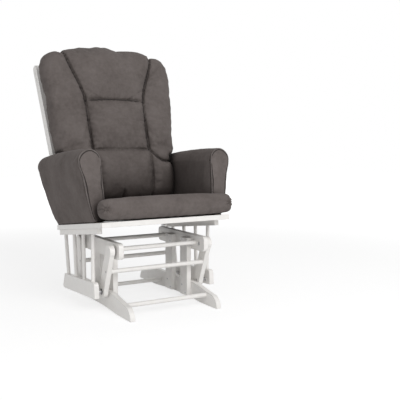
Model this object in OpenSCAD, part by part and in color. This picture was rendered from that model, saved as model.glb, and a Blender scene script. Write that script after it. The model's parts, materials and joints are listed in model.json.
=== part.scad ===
// Upholstered glider chair: a fixed base, four swing links on ball bearings, and a swinging
// seat that carries padded arms, a back frame and loose cushions.
// Millimetres, +Z up. The sitter faces -Y. The sitter's left is +X.
// Pieces of the base and the seat frame are laid out from the front end of the runners
// (y = 0 there) and then moved so that the origin is under the middle of the whole chair.

/* [Boards] */
// Thickness of the frame boards
board_t = 20; // [17:0.5:24]
// Diameter of the round crossbars
bar_d = 18; // [14:1:22]
// Diameter of the round spindles
spindle_d = 15; // [11:1:18]
// Diameter of the round tenons on spindles and crossbars
tenon_d = 10; // [6:0.5:10.5]
// Length of a tenon
tenon_len = 12; // [8:1:14]

/* [Base] */
// Width over the runners
base_w = 393; // [340:1:400]
// Length of a runner
runner_len = 702; // [640:2:780]
// Height of a runner in its middle
runner_h = 73; // [62:1:90]
// Radius of the rounded runner ends
runner_nose_r = 50; // [35:1:58]
// Length of the sloped top at the front end of a runner
runner_front_slope = 180; // [130:5:190]
// Length of the sloped top at the rear end of a runner
runner_rear_slope = 164; // [120:5:250]
// Length of the front pad that a runner stands on
runner_pad = 123; // [80:1:160]
// Length of the rear pad that a runner stands on
runner_rear_pad = 181; // [120:1:220]
// Rise of the arched underside between the pads
runner_arch = 8; // [3:0.5:14]
// Distance of the middle of the posts behind the front end
base_mid_y = 300; // [285:1:320]
// Width of a post
post_w = 58; // [44:1:64]
// Distance between the two posts of one side
post_spacing = 134; // [120:1:150]
// Height of the post tops above the floor
post_top = 258; // [250:1:268]
// Height of the post feet above the floor
post_foot = 14; // [11:1:22]
// Length of a hanger rail
rail_len = 404; // [390:2:416]
// Height of a hanger rail
rail_h = 62; // [54:1:64]
// Corner radius of a hanger rail
rail_r = 18; // [8:1:26]

/* [Glide linkage] */
// Height of the upper pivots above the floor
pivot_z = 244; // [238:1:248]
// Distance between the upper pivots of one side
pivot_spacing = 320; // [306:1:330]
// Distance between the two pivots of a link
link_len = 182; // [172:1:186]
// Distance between the lower pivots of one side
seat_pivot_spacing = 235; // [226:1:244]
// Lean of the front links when the chair is at rest
rest_angle = 22.5; // [18:0.1:24]
// Radius of a link round its upper pivot
link_top_r = 25; // [21:0.5:27]
// Radius of a link round its lower pivot
link_low_r = 24; // [20:0.5:25]
// Narrowing of a link between its rounded ends, on each edge
link_waist = 2; // [1:0.5:4]
// Gap between a hanger rail and a link
link_gap = 8; // [6:0.5:10]
// Gap between a link and the seat's bottom rail
lower_gap = 24; // [18:1:30]
// Radius of the pivot bolts
bolt_r = 4; // [3:0.25:4.5]
// Radius of the pivot bolt heads
bolt_head_r = 6.5; // [5.5:0.1:6.8]
// Height of the pivot bolt heads
bolt_head_h = 5; // [3:0.5:6]
// Outer radius of a bearing
bearing_r = 13; // [12.5:0.25:15]
// Width of a bearing
bearing_w = 10; // [8:0.5:12]
// Radius of a bearing ball
ball_r = 1.5; // [1.2:0.05:1.6]
// Number of balls in a bearing
ball_count = 9; // [7:1:11]
// Distance of the tie bars ahead of the middle of the links
tie_forward = 12; // [6:1:14]
// Distance of the tie bars below the upper pivots, along the links
tie_drop = 84; // [74:1:100]

/* [Crossbars] */
// Distance of the front top crossbar behind the front upper pivots
bar_front_top_in = 34; // [30:1:44]
// Distance of the rear top crossbar ahead of the rear upper pivots
bar_rear_top_in = 24; // [22:1:38]
// Distance of the front floor crossbar behind the runner front
bar_front_low_y = 84; // [74:1:100]
// Height of the front floor crossbar
bar_front_low_z = 41; // [36:1:44]
// Distance of the rear floor crossbar behind the runner front
bar_rear_low_y = 484; // [440:1:510]
// Height of the rear floor crossbar
bar_rear_low_z = 32; // [28:1:46]

/* [Seat frame] */
// Width of a side board
side_board_w = 40; // [32:1:44]
// Length of a side board
seat_depth = 513; // [500:1:530]
// Distance of the seat's front edge behind the runner front
seat_front_y = 64; // [52:1:74]
// Height of the underside of the side boards at the front
seat_front_z = 346; // [340:1:356]
// Tilt of the seat towards the back at rest
seat_tilt = 7.35; // [6.2:0.05:8]
// Inset of the side frames from the outer face of the side boards
side_inset = 8; // [4:1:10]
// Height of the upper side rail under a side board
upper_rail_h = 22.5; // [18:0.5:28]
// Distance of the upper side rail behind the seat's front edge
upper_rail_front = 72; // [50:1:90]
// Length of the upper side rail
upper_rail_len = 435; // [425:1:441]
// Height of the bottom side rail
bottom_rail_h = 62; // [54:1:66]
// Tilt of the bottom side rail
bottom_rail_tilt = 3.4; // [2.4:0.1:4.4]
// Reach of the bottom side rail ahead of the front pivot
bottom_rail_front = 38; // [30:1:50]
// Length of the bottom side rail
bottom_rail_len = 363; // [345:1:375]
// Depth of the bottom side rail's lower edge under the front pivot
bottom_rail_drop = 20; // [16:1:24]
// Spindles in a side frame
side_spindles = 4; // [3:1:5]
// Place of the first spindle along the upper side rail
spindle_first_up = 143; // [135:1:160]
// Spacing of the spindles along the upper side rail
spindle_pitch_up = 105; // [80:1:107]
// Spacing of the spindles along the bottom side rail
spindle_pitch_low = 93; // [70:1:96]
// Width of the front and rear seat rails
cross_rail_w = 40; // [30:1:46]
// Width of a webbing strap
strap_w = 50; // [40:1:60]
// Thickness of a webbing strap
strap_t = 1.6; // [1:0.1:2.2]

/* [Back frame] */
// Lean of the back from upright at rest
back_lean = 20; // [17:0.25:22]
// Outward splay of the back stiles
back_splay = 3.2; // [1.5:0.1:3.6]
// Length of a stile above the seat
stile_len = 757; // [720:1:790]
// Depth of a stile from front to back
stile_d = 45; // [38:1:50]
// Distance of the back's rear face behind the runner front, at the seat
back_foot_y = 578; // [570:1:586]
// Height of the crest rail
crest_h = 70; // [55:1:90]
// Rise of the arched crest
crest_arch = 12; // [5:1:18]
// Distance of the crest rail's lower edge below the stile tops
crest_drop = 85; // [75:1:110]
// Height of the lower back rail
low_rail_h = 46; // [38:1:60]
// Distance of the lower back rail above the seat
low_rail_z = 168; // [120:1:220]
// Spindles in the back
back_spindles = 7; // [5:1:8]

/* [Upholstery] */
// Width of an arm at its rounded top
arm_w = 86; // [76:1:92]
// Height of an arm above the side boards, at the front
arm_h = 283; // [260:1:300]
// Rise of the arm top towards the back
arm_rise = 22; // [10:1:30]
// Distance of the arm's front face behind the seat's front edge
arm_front = 53; // [46:1:70]
// Overhang of the arm's rounded top beyond the side boards
arm_flare = 51; // [40:1:58]
// Thickness of the board inside an arm
arm_board_t = 18; // [12:1:20]
// Height of the board inside an arm
arm_board_h = 240; // [200:1:260]
// Thickness of the seat cushion
cushion_t = 86; // [66:1:92]
// Reach of the seat cushion beyond the side boards, in front of the arms
cushion_ear = 6; // [2:1:14]
// Forward reach of the seat cushion beyond the seat's front edge
cushion_reach = 18; // [8:1:24]
// Rounding of the cushion edges
cushion_r = 32; // [24:1:34]
// Thickness of the back cushion just above the seat
back_cushion_low_t = 128; // [100:1:130]
// Thickness of the back cushion where the sitter's lower back leans
back_cushion_belly_t = 158; // [135:1:165]
// Thickness of the back cushion at the shoulders
back_cushion_top_t = 164; // [145:1:180]
// Depth of the back cushion's side seams below its pads
seam_depth = 25; // [15:1:32]
// Width of the valley along a seam of the back cushion
seam_w = 66; // [40:2:80]
// Height of the seam below the headrest pad above the seat, along the back
head_seam_z = 537; // [510:1:560]
// Height of the seam above the lumbar pad above the seat, along the back
lumbar_seam_z = 302; // [285:1:320]
// Thickness of the back cushion's quilted cover
cushion_cover = 5; // [4:0.5:12]
// Height of the back cushion's top above the seat, along the back
back_cushion_top = 797; // [760:1:830]
// Width of the back cushion at the shoulders
back_cushion_w = 622; // [580:2:650]
// Width of the back cushion just above the arms
back_cushion_waist = 556; // [520:2:580]

/* [Hidden] */

paint = [0.93, 0.92, 0.90];
cloth = [0.37, 0.345, 0.335];
steel = [0.72, 0.72, 0.74];
web = [0.16, 0.15, 0.14];

round_fn = 64;
soft_fn = 28;
lap = 1;
seat_fit = 0.1;
thread_fit = 0.05;
soft_fit = 0.4;

// Planes of the base, from the middle outwards
runner_out = base_w / 2;
runner_in = runner_out - board_t;
post_in = runner_in - board_t;
link_in = runner_out + link_gap;
link_out = link_in + board_t;
side_in = link_out + lower_gap;
side_out = side_in + board_t;
board_out = side_out + side_inset;
board_in = board_out - side_board_w;
arm_inner = board_in;
seat_w = 2 * board_out;

// Pivots of one side as [y, z]
front_pivot = [base_mid_y - pivot_spacing / 2, pivot_z];
rear_pivot = [base_mid_y + pivot_spacing / 2, pivot_z];
seat_front_pivot = front_pivot + link_len * [sin(rest_angle), -cos(rest_angle)];
pivot_gap = seat_front_pivot - rear_pivot;
pivot_dist = norm(pivot_gap);
pivot_dir = pivot_gap / pivot_dist;
foot_along = (pow(link_len, 2) - pow(seat_pivot_spacing, 2) + pow(pivot_dist, 2)) / (2 * pivot_dist);
foot_off = sqrt(pow(link_len, 2) - pow(foot_along, 2));
seat_rear_pivot = rear_pivot + foot_along * pivot_dir + foot_off * [-pivot_dir[1], pivot_dir[0]];
front_link_angle = rest_angle;
rear_link_angle = -asin((seat_rear_pivot[0] - rear_pivot[0]) / link_len);

// Bearing parts
ring_gap = 2 * ball_r + 0.2;
inner_ring_r = bolt_r + 2.3;
outer_ring_in = inner_ring_r + ring_gap;
pocket_depth = bearing_w + 1;
open_hole_r = bolt_head_r + 2.9;
head_hole_r = bolt_head_r + 0.6;
ring_stand = 0.5;
recess_depth = bolt_head_h + 1;
recess_r = bolt_head_r + 2.5;
bolt_end_hole = 4;
insert_depth = 14;

// Screws and tie bolts
screw_r = 2.5;
screw_head_r = 4.5;
screw_head_h = 2.5;
screw_bite = 14;
tie_bolt_r = 3;
tie_head_r = 4.5;
tie_head_h = 4;
tie_bolt_bite = 26;

// Middle of the whole chair from the runner front to the rear corner of the stile tops
stile_corner = 12;
crest_z = stile_len - crest_drop;
stile_top_y = back_foot_y + (stile_len - stile_corner) * sin(back_lean)
    + stile_corner * (1 - cos(back_lean));
mid_y = stile_top_y / 2;

// Width over the stiles at the seat, where they stand against the upper side rails
back_w = 2 * side_in;

// Back foot on the seat
back_foot_z = seat_front_z - (back_foot_y - seat_front_y) * tan(seat_tilt);
stile_foot = 22;
notch_top = 3 * board_t;

module place() {
    translate([0, -mid_y, 0]) children();
}

module on_left() {
    place() children();
}

module on_right() {
    place() mirror([1, 0, 0]) children();
}

module both_sides() {
    on_left() children();
    on_right() children();
}

// Extrudes an outline drawn in [y, z] from x to x + t
module slab(x, t) {
    translate([x, 0, 0]) rotate([90, 0, 90]) linear_extrude(t) children();
}

// A round bar along x, from x to x + len, round the point [y, z]
module rod(x, len, p, r) {
    translate([x, p[0], p[1]]) rotate([0, 90, 0]) cylinder(h = len, r = r, $fn = round_fn);
}

module tube(x, len, p, r, hole_r) {
    difference() {
        rod(x, len, p, r);
        rod(x - 1, len + 2, p, hole_r);
    }
}

// The seat frame's own axes: y along the seat from its front edge, z up from the underside
// of the side boards
module seat_axes() {
    translate([0, seat_front_y, seat_front_z]) rotate([-seat_tilt, 0, 0]) children();
}

// The back frame's own axes: y = 0 is its rear face, z runs up along the stiles
module back_axes() {
    translate([0, back_foot_y, back_foot_z]) rotate([-back_lean, 0, 0]) children();
}

// The bottom side rail's own axes, with the front lower pivot as their origin
module bottom_axes() {
    translate([0, seat_front_pivot[0], seat_front_pivot[1]])
        rotate([-bottom_rail_tilt, 0, 0]) children();
}

// Point [y, z] of the chair for a point [y, z] of the seat frame and of the bottom rail
function from_seat(p) = [
    seat_front_y + p[0] * cos(seat_tilt) + p[1] * sin(seat_tilt),
    seat_front_z - p[0] * sin(seat_tilt) + p[1] * cos(seat_tilt)];
function from_bottom(p) = [
    seat_front_pivot[0] + p[0] * cos(bottom_rail_tilt) + p[1] * sin(bottom_rail_tilt),
    seat_front_pivot[1] - p[0] * sin(bottom_rail_tilt) + p[1] * cos(bottom_rail_tilt)];

// ---------------------------------------------------------------- base

arch_chord = runner_len - runner_pad - runner_rear_pad;
arch_r = pow(arch_chord, 2) / (8 * runner_arch) + runner_arch / 2;
arch_mid = runner_pad + arch_chord / 2;

module runner_outline() {
    difference() {
        union() {
            intersection() {
                translate([runner_nose_r, 0]) circle(r = runner_nose_r, $fn = 96);
                square([runner_nose_r + lap, runner_nose_r]);
            }
            intersection() {
                translate([runner_len - runner_nose_r, 0]) circle(r = runner_nose_r, $fn = 96);
                translate([runner_len - runner_nose_r - lap, 0])
                    square([runner_nose_r + lap, runner_nose_r]);
            }
            polygon([
                [runner_nose_r, 0],
                [runner_len - runner_nose_r, 0],
                [runner_len - runner_nose_r, runner_nose_r],
                [runner_len - runner_rear_slope, runner_h],
                [runner_front_slope, runner_h],
                [runner_nose_r, runner_nose_r]]);
        }
        translate([arch_mid, runner_arch - arch_r]) circle(r = arch_r, $fn = 256);
    }
}

// Screw places of a post, [y, z], with y from the middle of the post
runner_screw_z = [24, 54];
rail_screw_z = [pivot_z - 16, pivot_z + 6];
post_screw_off = 14;

module runner() {
    difference() {
        slab(runner_in, board_t) runner_outline();
        crossbar_sockets();
        post_screw_holes(runner_in, screw_r);
    }
}

module crossbar_sockets() {
    rod(runner_in - 1, tenon_len + 1.5, [bar_front_low_y, bar_front_low_z], tenon_d / 2 + seat_fit);
    rod(runner_in - 1, tenon_len + 1.5, [bar_rear_low_y, bar_rear_low_z], tenon_d / 2 + seat_fit);
    rod(runner_in - 1, tenon_len + 1.5, front_top_bar, tenon_d / 2 + seat_fit);
    rod(runner_in - 1, tenon_len + 1.5, rear_top_bar, tenon_d / 2 + seat_fit);
}

front_top_bar = front_pivot + [bar_front_top_in, 0];
rear_top_bar = rear_pivot - [bar_rear_top_in, 0];

module each_post_screw() {
    for (post = [-1, 1], z = concat(runner_screw_z, rail_screw_z)) {
        off = z == runner_screw_z[0] || z == rail_screw_z[0] ? -post_screw_off : post_screw_off;
        translate([0, base_mid_y + post * post_spacing / 2 + off, z]) children();
    }
}

module post_screw_holes(x, r) {
    each_post_screw() translate([x - 1, 0, 0]) rotate([0, 90, 0])
        cylinder(h = screw_bite + 2, r = r, $fn = 24);
}

module post(dir) {
    y = base_mid_y + dir * post_spacing / 2;
    difference() {
        translate([post_in, y - post_w / 2, post_foot])
            cube([board_t, post_w, post_top - post_foot]);
        each_post_screw() {
            translate([post_in - 1, 0, 0]) rotate([0, 90, 0])
                cylinder(h = board_t + 2, r = screw_r + seat_fit, $fn = 24);
            translate([post_in - 1, 0, 0]) rotate([0, 90, 0])
                cylinder(h = screw_head_h + 1.2, r = screw_head_r + seat_fit, $fn = 24);
        }
    }
}

module rail_outline() {
    h = rail_h / 2 - rail_r;
    l = rail_len / 2 - rail_r;
    union() {
        for (i = [-1, 1], j = [-1, 1])
            translate([i * l, j * h]) circle(r = rail_r, $fn = 64);
        square([2 * l, rail_h], center = true);
        square([rail_len, 2 * h], center = true);
    }
}

module hanger_rail() {
    difference() {
        slab(runner_in, board_t) translate([base_mid_y, pivot_z]) rail_outline();
        for (p = [front_pivot, rear_pivot]) {
            rod(runner_in - 1, board_t + 2, p, bolt_r + seat_fit);
            rod(runner_in - 1, recess_depth + 1, p, recess_r);
        }
        crossbar_sockets();
        post_screw_holes(runner_in, screw_r);
    }
}

module crossbar(p) {
    rod(-runner_in, 2 * runner_in, p, bar_d / 2);
    rod(-runner_in - tenon_len, 2 * (runner_in + tenon_len), p, tenon_d / 2);
}

module post_screw() {
    rotate([0, 90, 0]) {
        translate([0, 0, 0.2]) cylinder(h = screw_head_h, r = screw_head_r, $fn = 24);
        translate([0, 0, 0.2]) cylinder(h = board_t + screw_bite, r = screw_r, $fn = 24);
    }
}

module post_screw_group() {
    each_post_screw() translate([post_in, 0, 0]) post_screw();
}

// ---------------------------------------------------------------- pivots

hex_key_r = 2.6;

// A socket head bolt along +x whose head starts at x
module socket_bolt(x, len, p, r, head_r, head_h) {
    difference() {
        union() {
            rod(x, head_h, p, head_r);
            rod(x, head_h + len, p, r);
        }
        translate([x - 1, p[0], p[1]]) rotate([0, 90, 0])
            cylinder(h = head_h * 0.6 + 1, r = min(hex_key_r, r * 0.9), $fn = 6);
    }
}

upper_head_x = runner_in + recess_depth - bolt_head_h;
upper_bolt_len = runner_out - runner_in - recess_depth + link_gap + pocket_depth + bolt_end_hole - 1;

module upper_bolts() {
    for (p = [front_pivot, rear_pivot])
        socket_bolt(upper_head_x, upper_bolt_len, p, bolt_r, bolt_head_r, bolt_head_h);
}

module upper_spacers() {
    for (p = [front_pivot, rear_pivot])
        tube(runner_out, link_gap + ring_stand, p, inner_ring_r + 1.5, bolt_r + seat_fit);
}

module upper_inner_rings() {
    for (p = [front_pivot, rear_pivot])
        tube(link_in + ring_stand, bearing_w, p, inner_ring_r, bolt_r + 0.02);
}

// The lower bearings sit in the outer face of the links
lower_pocket_x = link_out - pocket_depth;
lower_ring_x = link_out - bearing_w + ring_stand;
lower_head_x = lower_ring_x - bolt_head_h;
lower_bolt_len = side_in - lower_ring_x + insert_depth;

module lower_bolts() {
    for (p = [seat_front_pivot, seat_rear_pivot])
        socket_bolt(lower_head_x, lower_bolt_len, p, bolt_r, bolt_head_r, bolt_head_h);
}

module lower_spacers() {
    for (p = [seat_front_pivot, seat_rear_pivot])
        tube(link_out + ring_stand, lower_gap - ring_stand, p, inner_ring_r + 1.5, bolt_r + seat_fit);
}

module lower_inner_rings() {
    for (p = [seat_front_pivot, seat_rear_pivot])
        tube(lower_ring_x, bearing_w, p, inner_ring_r, bolt_r + 0.02);
}

module outer_ring(x, p) {
    tube(x, bearing_w - 0.5, p, bearing_r - 0.02, outer_ring_in);
}

module balls(x, p) {
    for (i = [0 : ball_count - 1])
        translate([x, p[0], p[1]]) rotate([i * 360 / ball_count, 0, 0])
            translate([0, 0, (inner_ring_r + outer_ring_in) / 2]) sphere(r = ball_r, $fn = 24);
}

// ---------------------------------------------------------------- links

// A link in its own plane: upper pivot at the origin, lower pivot at [0, -link_len]
module link_outline() {
    top = link_top_r - link_waist;
    low = link_low_r - link_waist;
    union() {
        circle(r = link_top_r, $fn = 72);
        translate([0, -link_len]) circle(r = link_low_r, $fn = 72);
        polygon([[-low, -link_len], [low, -link_len], [top, 0], [-top, 0]]);
    }
}

// Tie bar place in the link's plane
tie_local = [-tie_forward, -tie_drop];

function tie_point(pivot, angle) = pivot + [
    tie_local[0] * cos(angle) - tie_local[1] * sin(angle),
    tie_local[0] * sin(angle) + tie_local[1] * cos(angle)];

front_tie = tie_point(front_pivot, front_link_angle);
rear_tie = tie_point(rear_pivot, -rear_link_angle);

module link(pivot, low_pivot, angle, tie, through_r) {
    difference() {
        slab(link_in, board_t) translate(pivot) rotate(angle) link_outline();
        rod(link_in - 1, pocket_depth + 1, pivot, bearing_r);
        rod(link_in - 1, pocket_depth + bolt_end_hole + 1, pivot, inner_ring_r + 1);
        rod(lower_pocket_x, pocket_depth + 1, low_pivot, bearing_r);
        rod(link_in - 1, board_t + 2, low_pivot, through_r);
        rod(link_in - 1, board_t + 2, tie, tie_bolt_r + seat_fit);
        rod(link_out - tie_head_h - 1, tie_head_h + 2, tie, tie_head_r + 0.5);
    }
}

module tie_bar(p) {
    difference() {
        rod(-link_in, 2 * link_in, p, bar_d / 2);
        for (s = [-1, 1])
            rod(s > 0 ? link_in - tie_bolt_bite : -link_in - 1, tie_bolt_bite + 1, p, tie_bolt_r);
    }
}

module tie_bolt(p) {
    len = board_t - tie_head_h - 1 + tie_bolt_bite - 1;
    translate([link_out - 1, p[0], p[1]]) mirror([1, 0, 0]) rotate([0, 90, 0]) difference() {
        union() {
            cylinder(h = tie_head_h, r = tie_head_r, $fn = 32);
            cylinder(h = tie_head_h + len, r = tie_bolt_r, $fn = 32);
        }
        translate([0, 0, -1]) cylinder(h = tie_head_h * 0.6 + 1, r = 2, $fn = 6);
    }
}

module link_rings(pivot, low_pivot) {
    outer_ring(link_in + ring_stand, pivot);
    outer_ring(lower_pocket_x + 0.5, low_pivot);
}

upper_ball_x = link_in + ring_stand + (bearing_w - 0.5) / 2;
lower_ball_x = lower_pocket_x + 0.5 + (bearing_w - 0.5) / 2;

// ---------------------------------------------------------------- seat frame

rail_under = -upper_rail_h;

module side_board() {
    difference() {
        seat_axes() difference() {
            translate([board_in, 0, 0]) cube([side_board_w, seat_depth, board_t]);
            translate([board_in - 1, strap_first - strap_w, board_t - strap_t])
                cube([strap_land + 1, 2 * strap_w + cross_straps * strap_step, strap_t + 1]);
        }
        stile_envelope(seat_fit);
        frame_bolt_holes();
        seat_axes() for (y = arm_screw_y)
            translate([arm_board_x + arm_board_t / 2, y, -1]) {
                cylinder(h = board_t + 2, r = screw_r + seat_fit, $fn = 24);
                cylinder(h = screw_head_h + 1.2, r = screw_head_r + seat_fit, $fn = 24);
            }
    }
}

module seat_front_rail() {
    seat_axes() difference() {
        translate([-board_in, 0, 0]) cube([2 * board_in, cross_rail_w, board_t]);
        translate([-board_in - 1, cross_rail_w - strap_land, board_t - 2 * strap_t])
            cube([2 * board_in + 2, strap_land + 1, 2 * strap_t + 1]);
    }
}

rear_rail_y = seat_depth - cross_rail_w - 28;

module seat_rear_rail() {
    difference() {
        seat_axes() difference() {
            translate([-board_in, rear_rail_y, 0]) cube([2 * board_in, cross_rail_w, board_t]);
            translate([-board_in - 1, rear_rail_y - 1, board_t - 2 * strap_t])
                cube([2 * board_in + 2, strap_land + 1, 2 * strap_t + 1]);
        }
        stile_envelope(seat_fit);
        mirror([1, 0, 0]) stile_envelope(seat_fit);
    }
}

// Straps: the long ones lie on the two cross rails, the short ones on them and the side boards
strap_land = 14;
long_straps = 4;
cross_straps = 3;
strap_first = 120;
strap_step = (rear_rail_y - cross_rail_w - strap_first) / (cross_straps - 1);

module webbing() {
    seat_axes() {
        for (i = [0 : long_straps - 1])
            translate([(i - (long_straps - 1) / 2) * 2 * board_in / (long_straps + 0.4) - strap_w / 2,
                cross_rail_w - strap_land, board_t - 2 * strap_t])
                cube([strap_w, rear_rail_y - cross_rail_w + 2 * strap_land, strap_t]);
        for (i = [0 : cross_straps - 1])
            translate([-board_in - strap_land, strap_first + i * strap_step - strap_w / 2, board_t - strap_t])
                cube([2 * (board_in + strap_land), strap_w, strap_t]);
    }
}

// Tenon places along the two rails of a side frame
spindle_first_low = -3;
spindle_u = [for (i = [0 : side_spindles - 1]) spindle_first_up + i * spindle_pitch_up];
spindle_v = [for (i = [0 : side_spindles - 1]) spindle_first_low + i * spindle_pitch_low];
bottom_rail_top = bottom_rail_h - bottom_rail_drop;

module spindle_axis(i) {
    a = from_bottom([spindle_v[i], bottom_rail_top]);
    b = from_seat([spindle_u[i], rail_under]);
    d = b - a;
    translate([(side_in + side_out) / 2, a[0], a[1]]) rotate([-atan2(d[0], d[1]), 0, 0]) children();
}

function spindle_length(i) =
    norm(from_seat([spindle_u[i], rail_under]) - from_bottom([spindle_v[i], bottom_rail_top]));

module spindle_sockets() {
    for (i = [0 : side_spindles - 1])
        spindle_axis(i) translate([0, 0, -tenon_len - 0.5])
            cylinder(h = spindle_length(i) + 2 * tenon_len + 1, r = tenon_d / 2 + seat_fit, $fn = 48);
}

module upper_side_rail() {
    difference() {
        seat_axes() translate([side_in, upper_rail_front, rail_under])
            cube([board_t, upper_rail_len, upper_rail_h]);
        spindle_sockets();
        stile_envelope(seat_fit);
        frame_bolt_holes();
    }
}

bottom_front_r = 14;
bottom_rear_rise = 9;
bottom_rear_cut = 11;
bottom_rear_lean = 25;

module bottom_rail_outline() {
    front = -bottom_rail_front;
    rear = front + bottom_rail_len;
    low = -bottom_rail_drop;
    union() {
        polygon([
            [front, low],
            [rear - bottom_rear_cut, low],
            [rear, low + bottom_rear_rise],
            [rear - bottom_rear_lean, bottom_rail_top],
            [front + bottom_front_r, bottom_rail_top],
            [front + bottom_front_r, bottom_rail_top - bottom_front_r],
            [front, bottom_rail_top - bottom_front_r]]);
        translate([front + bottom_front_r, bottom_rail_top - bottom_front_r])
            circle(r = bottom_front_r, $fn = 64);
    }
}

module bottom_side_rail() {
    difference() {
        bottom_axes() slab(side_in, board_t) bottom_rail_outline();
        spindle_sockets();
        for (p = [seat_front_pivot, seat_rear_pivot])
            rod(side_in - 1, insert_depth + 2, p, bolt_r + thread_fit);
    }
}

// The space between the two rails of a side frame, which the spindles fill from end to end
module between_rails() {
    slab(side_in - 2, board_t + 4) polygon([
        from_bottom([-bottom_rail_len / 2, bottom_rail_top]),
        from_bottom([1.2 * bottom_rail_len, bottom_rail_top]),
        from_seat([seat_depth, rail_under]),
        from_seat([0, rail_under])]);
}

module side_spindle_set() {
    for (i = [0 : side_spindles - 1]) {
        intersection() {
            spindle_axis(i) translate([0, 0, -board_t])
                cylinder(h = spindle_length(i) + 2 * board_t, r = spindle_d / 2, $fn = 48);
            between_rails();
        }
        spindle_axis(i) translate([0, 0, -tenon_len])
            cylinder(h = spindle_length(i) + 2 * tenon_len, r = tenon_d / 2, $fn = 48);
    }
}

// ---------------------------------------------------------------- back frame

stile_shift = tan(back_splay);

// Outline of a stile seen from the front, in the back frame's x and z, widened by grow
module stile_outline(grow, top) {
    low = -stile_foot;
    out = back_w / 2 + grow;
    inn = back_w / 2 - board_t - grow;
    polygon([
        [out + low * stile_shift, low - grow],
        [out + top * stile_shift, top],
        [inn + top * stile_shift, top],
        [inn + low * stile_shift, low - grow]]);
}

module stile_envelope(grow) {
    back_axes() translate([0, grow, 0]) rotate([90, 0, 0])
        linear_extrude(stile_d + 2 * grow) stile_outline(grow, notch_top);
}

module stile_side() {
    union() {
        translate([-stile_d, -stile_foot]) square([stile_d, stile_foot + stile_len - stile_corner]);
        translate([-stile_d + stile_corner, stile_len - stile_corner - 1])
            square([stile_d - 2 * stile_corner, stile_corner + 1]);
        for (y = [-stile_d + stile_corner, -stile_corner])
            translate([y, stile_len - stile_corner]) circle(r = stile_corner, $fn = 48);
    }
}

module back_stile() {
    difference() {
        intersection() {
            back_axes() rotate([90, 0, 0]) linear_extrude(stile_d) stile_outline(0, stile_len);
            back_axes() slab(0, back_w) stile_side();
        }
        back_rail_tenons(seat_fit);
        frame_bolt_holes();
    }
}

// The trapezoid between the stiles
module between_stiles(gap) {
    inn = back_w / 2 - board_t - gap;
    rotate([90, 0, 0]) translate([0, 0, -stile_d]) linear_extrude(3 * stile_d) polygon([
        [-inn + stile_foot * stile_shift, -stile_foot],
        [inn - stile_foot * stile_shift, -stile_foot],
        [inn + stile_len * stile_shift, stile_len],
        [-inn - stile_len * stile_shift, stile_len]]);
}

back_rail_y = -(stile_d + board_t) / 2;
crest_r = pow(back_w, 2) / (8 * crest_arch) + crest_arch / 2;

module back_rail_tenons(grow) {
    back_axes() for (z = [crest_z + crest_h * 0.3, crest_z + crest_h * 0.7, low_rail_z + low_rail_h / 2])
        translate([-back_w, -stile_d / 2, z]) rotate([0, 90, 0])
            cylinder(h = 2 * back_w, r = tenon_d / 2 - 1 + grow, $fn = 32);
}

// Dowels that pass from a back rail into the stiles, part of the rail
module rail_dowels(zs) {
    for (z = zs) {
        half = back_w / 2 - board_t + z * stile_shift + tenon_len;
        translate([-half, -stile_d / 2, z]) rotate([0, 90, 0])
            cylinder(h = 2 * half, r = tenon_d / 2 - 1, $fn = 32);
    }
}

module crest_rail() {
    back_axes() difference() {
        union() {
            intersection() {
                between_stiles(0);
                translate([-back_w, back_rail_y, crest_z]) cube([2 * back_w, board_t, crest_h]);
                translate([0, back_rail_y - 1, crest_z + crest_h - crest_r]) rotate([-90, 0, 0])
                    cylinder(h = board_t + 2, r = crest_r, $fn = 360);
            }
            rail_dowels([crest_z + crest_h * 0.3, crest_z + crest_h * 0.7]);
        }
        back_spindle_holes();
    }
}

module lower_back_rail() {
    back_axes() difference() {
        union() {
            intersection() {
                between_stiles(0);
                translate([-back_w, back_rail_y, low_rail_z]) cube([2 * back_w, board_t, low_rail_h]);
            }
            rail_dowels([low_rail_z + low_rail_h / 2]);
        }
        back_spindle_holes();
    }
}

back_spindle_z = low_rail_z + low_rail_h;
back_spindle_len = crest_z - back_spindle_z;
back_pitch_low = (back_w - 2 * board_t) / (back_spindles + 0.6);
back_fan = 1 + 2 * back_spindle_len * stile_shift / (back_w - 2 * board_t);

// Spindles fan out a little, as the stiles do
module each_back_spindle() {
    for (i = [0 : back_spindles - 1]) {
        k = i - (back_spindles - 1) / 2;
        lean = atan2(k * back_pitch_low * (back_fan - 1), back_spindle_len);
        translate([k * back_pitch_low, -stile_d / 2, back_spindle_z]) rotate([0, lean, 0]) children();
    }
}

module back_spindle_holes() {
    each_back_spindle() translate([0, 0, -tenon_len - 0.5])
        cylinder(h = back_spindle_len + 2 * tenon_len + 2, r = tenon_d / 2 + seat_fit, $fn = 32);
}

module back_spindle_set() {
    back_axes() {
        intersection() {
            each_back_spindle() translate([0, 0, -board_t])
                cylinder(h = back_spindle_len + 2 * board_t + 5, r = spindle_d / 2, $fn = 48);
            translate([-back_w, -stile_d, back_spindle_z]) cube([2 * back_w, stile_d, back_spindle_len]);
        }
        each_back_spindle() translate([0, 0, -tenon_len])
            cylinder(h = back_spindle_len + 2 * tenon_len, r = tenon_d / 2, $fn = 32);
    }
}

// Two bolts a side: through the stile's foot into the side board and into the upper side rail
frame_bolt_r = 3;
frame_head_r = 6;
frame_head_h = 2.6;
frame_bolt_len = board_t + 12;
bolt_lift = [board_t / 2, -upper_rail_h / 2];
stile_mid = seat_depth - 16;
bolt_step = -6;

module each_frame_bolt() {
    for (i = [0, 1])
        seat_axes() translate([stile_inner_x + 0.5, stile_mid + bolt_step * i, bolt_lift[i]]) children();
}

stile_inner_x = back_w / 2 - board_t;

module frame_bolt_holes() {
    each_frame_bolt() rotate([0, 90, 0]) translate([0, 0, -6])
        cylinder(h = frame_bolt_len + 8, r = frame_bolt_r + seat_fit, $fn = 32);
}

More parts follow.
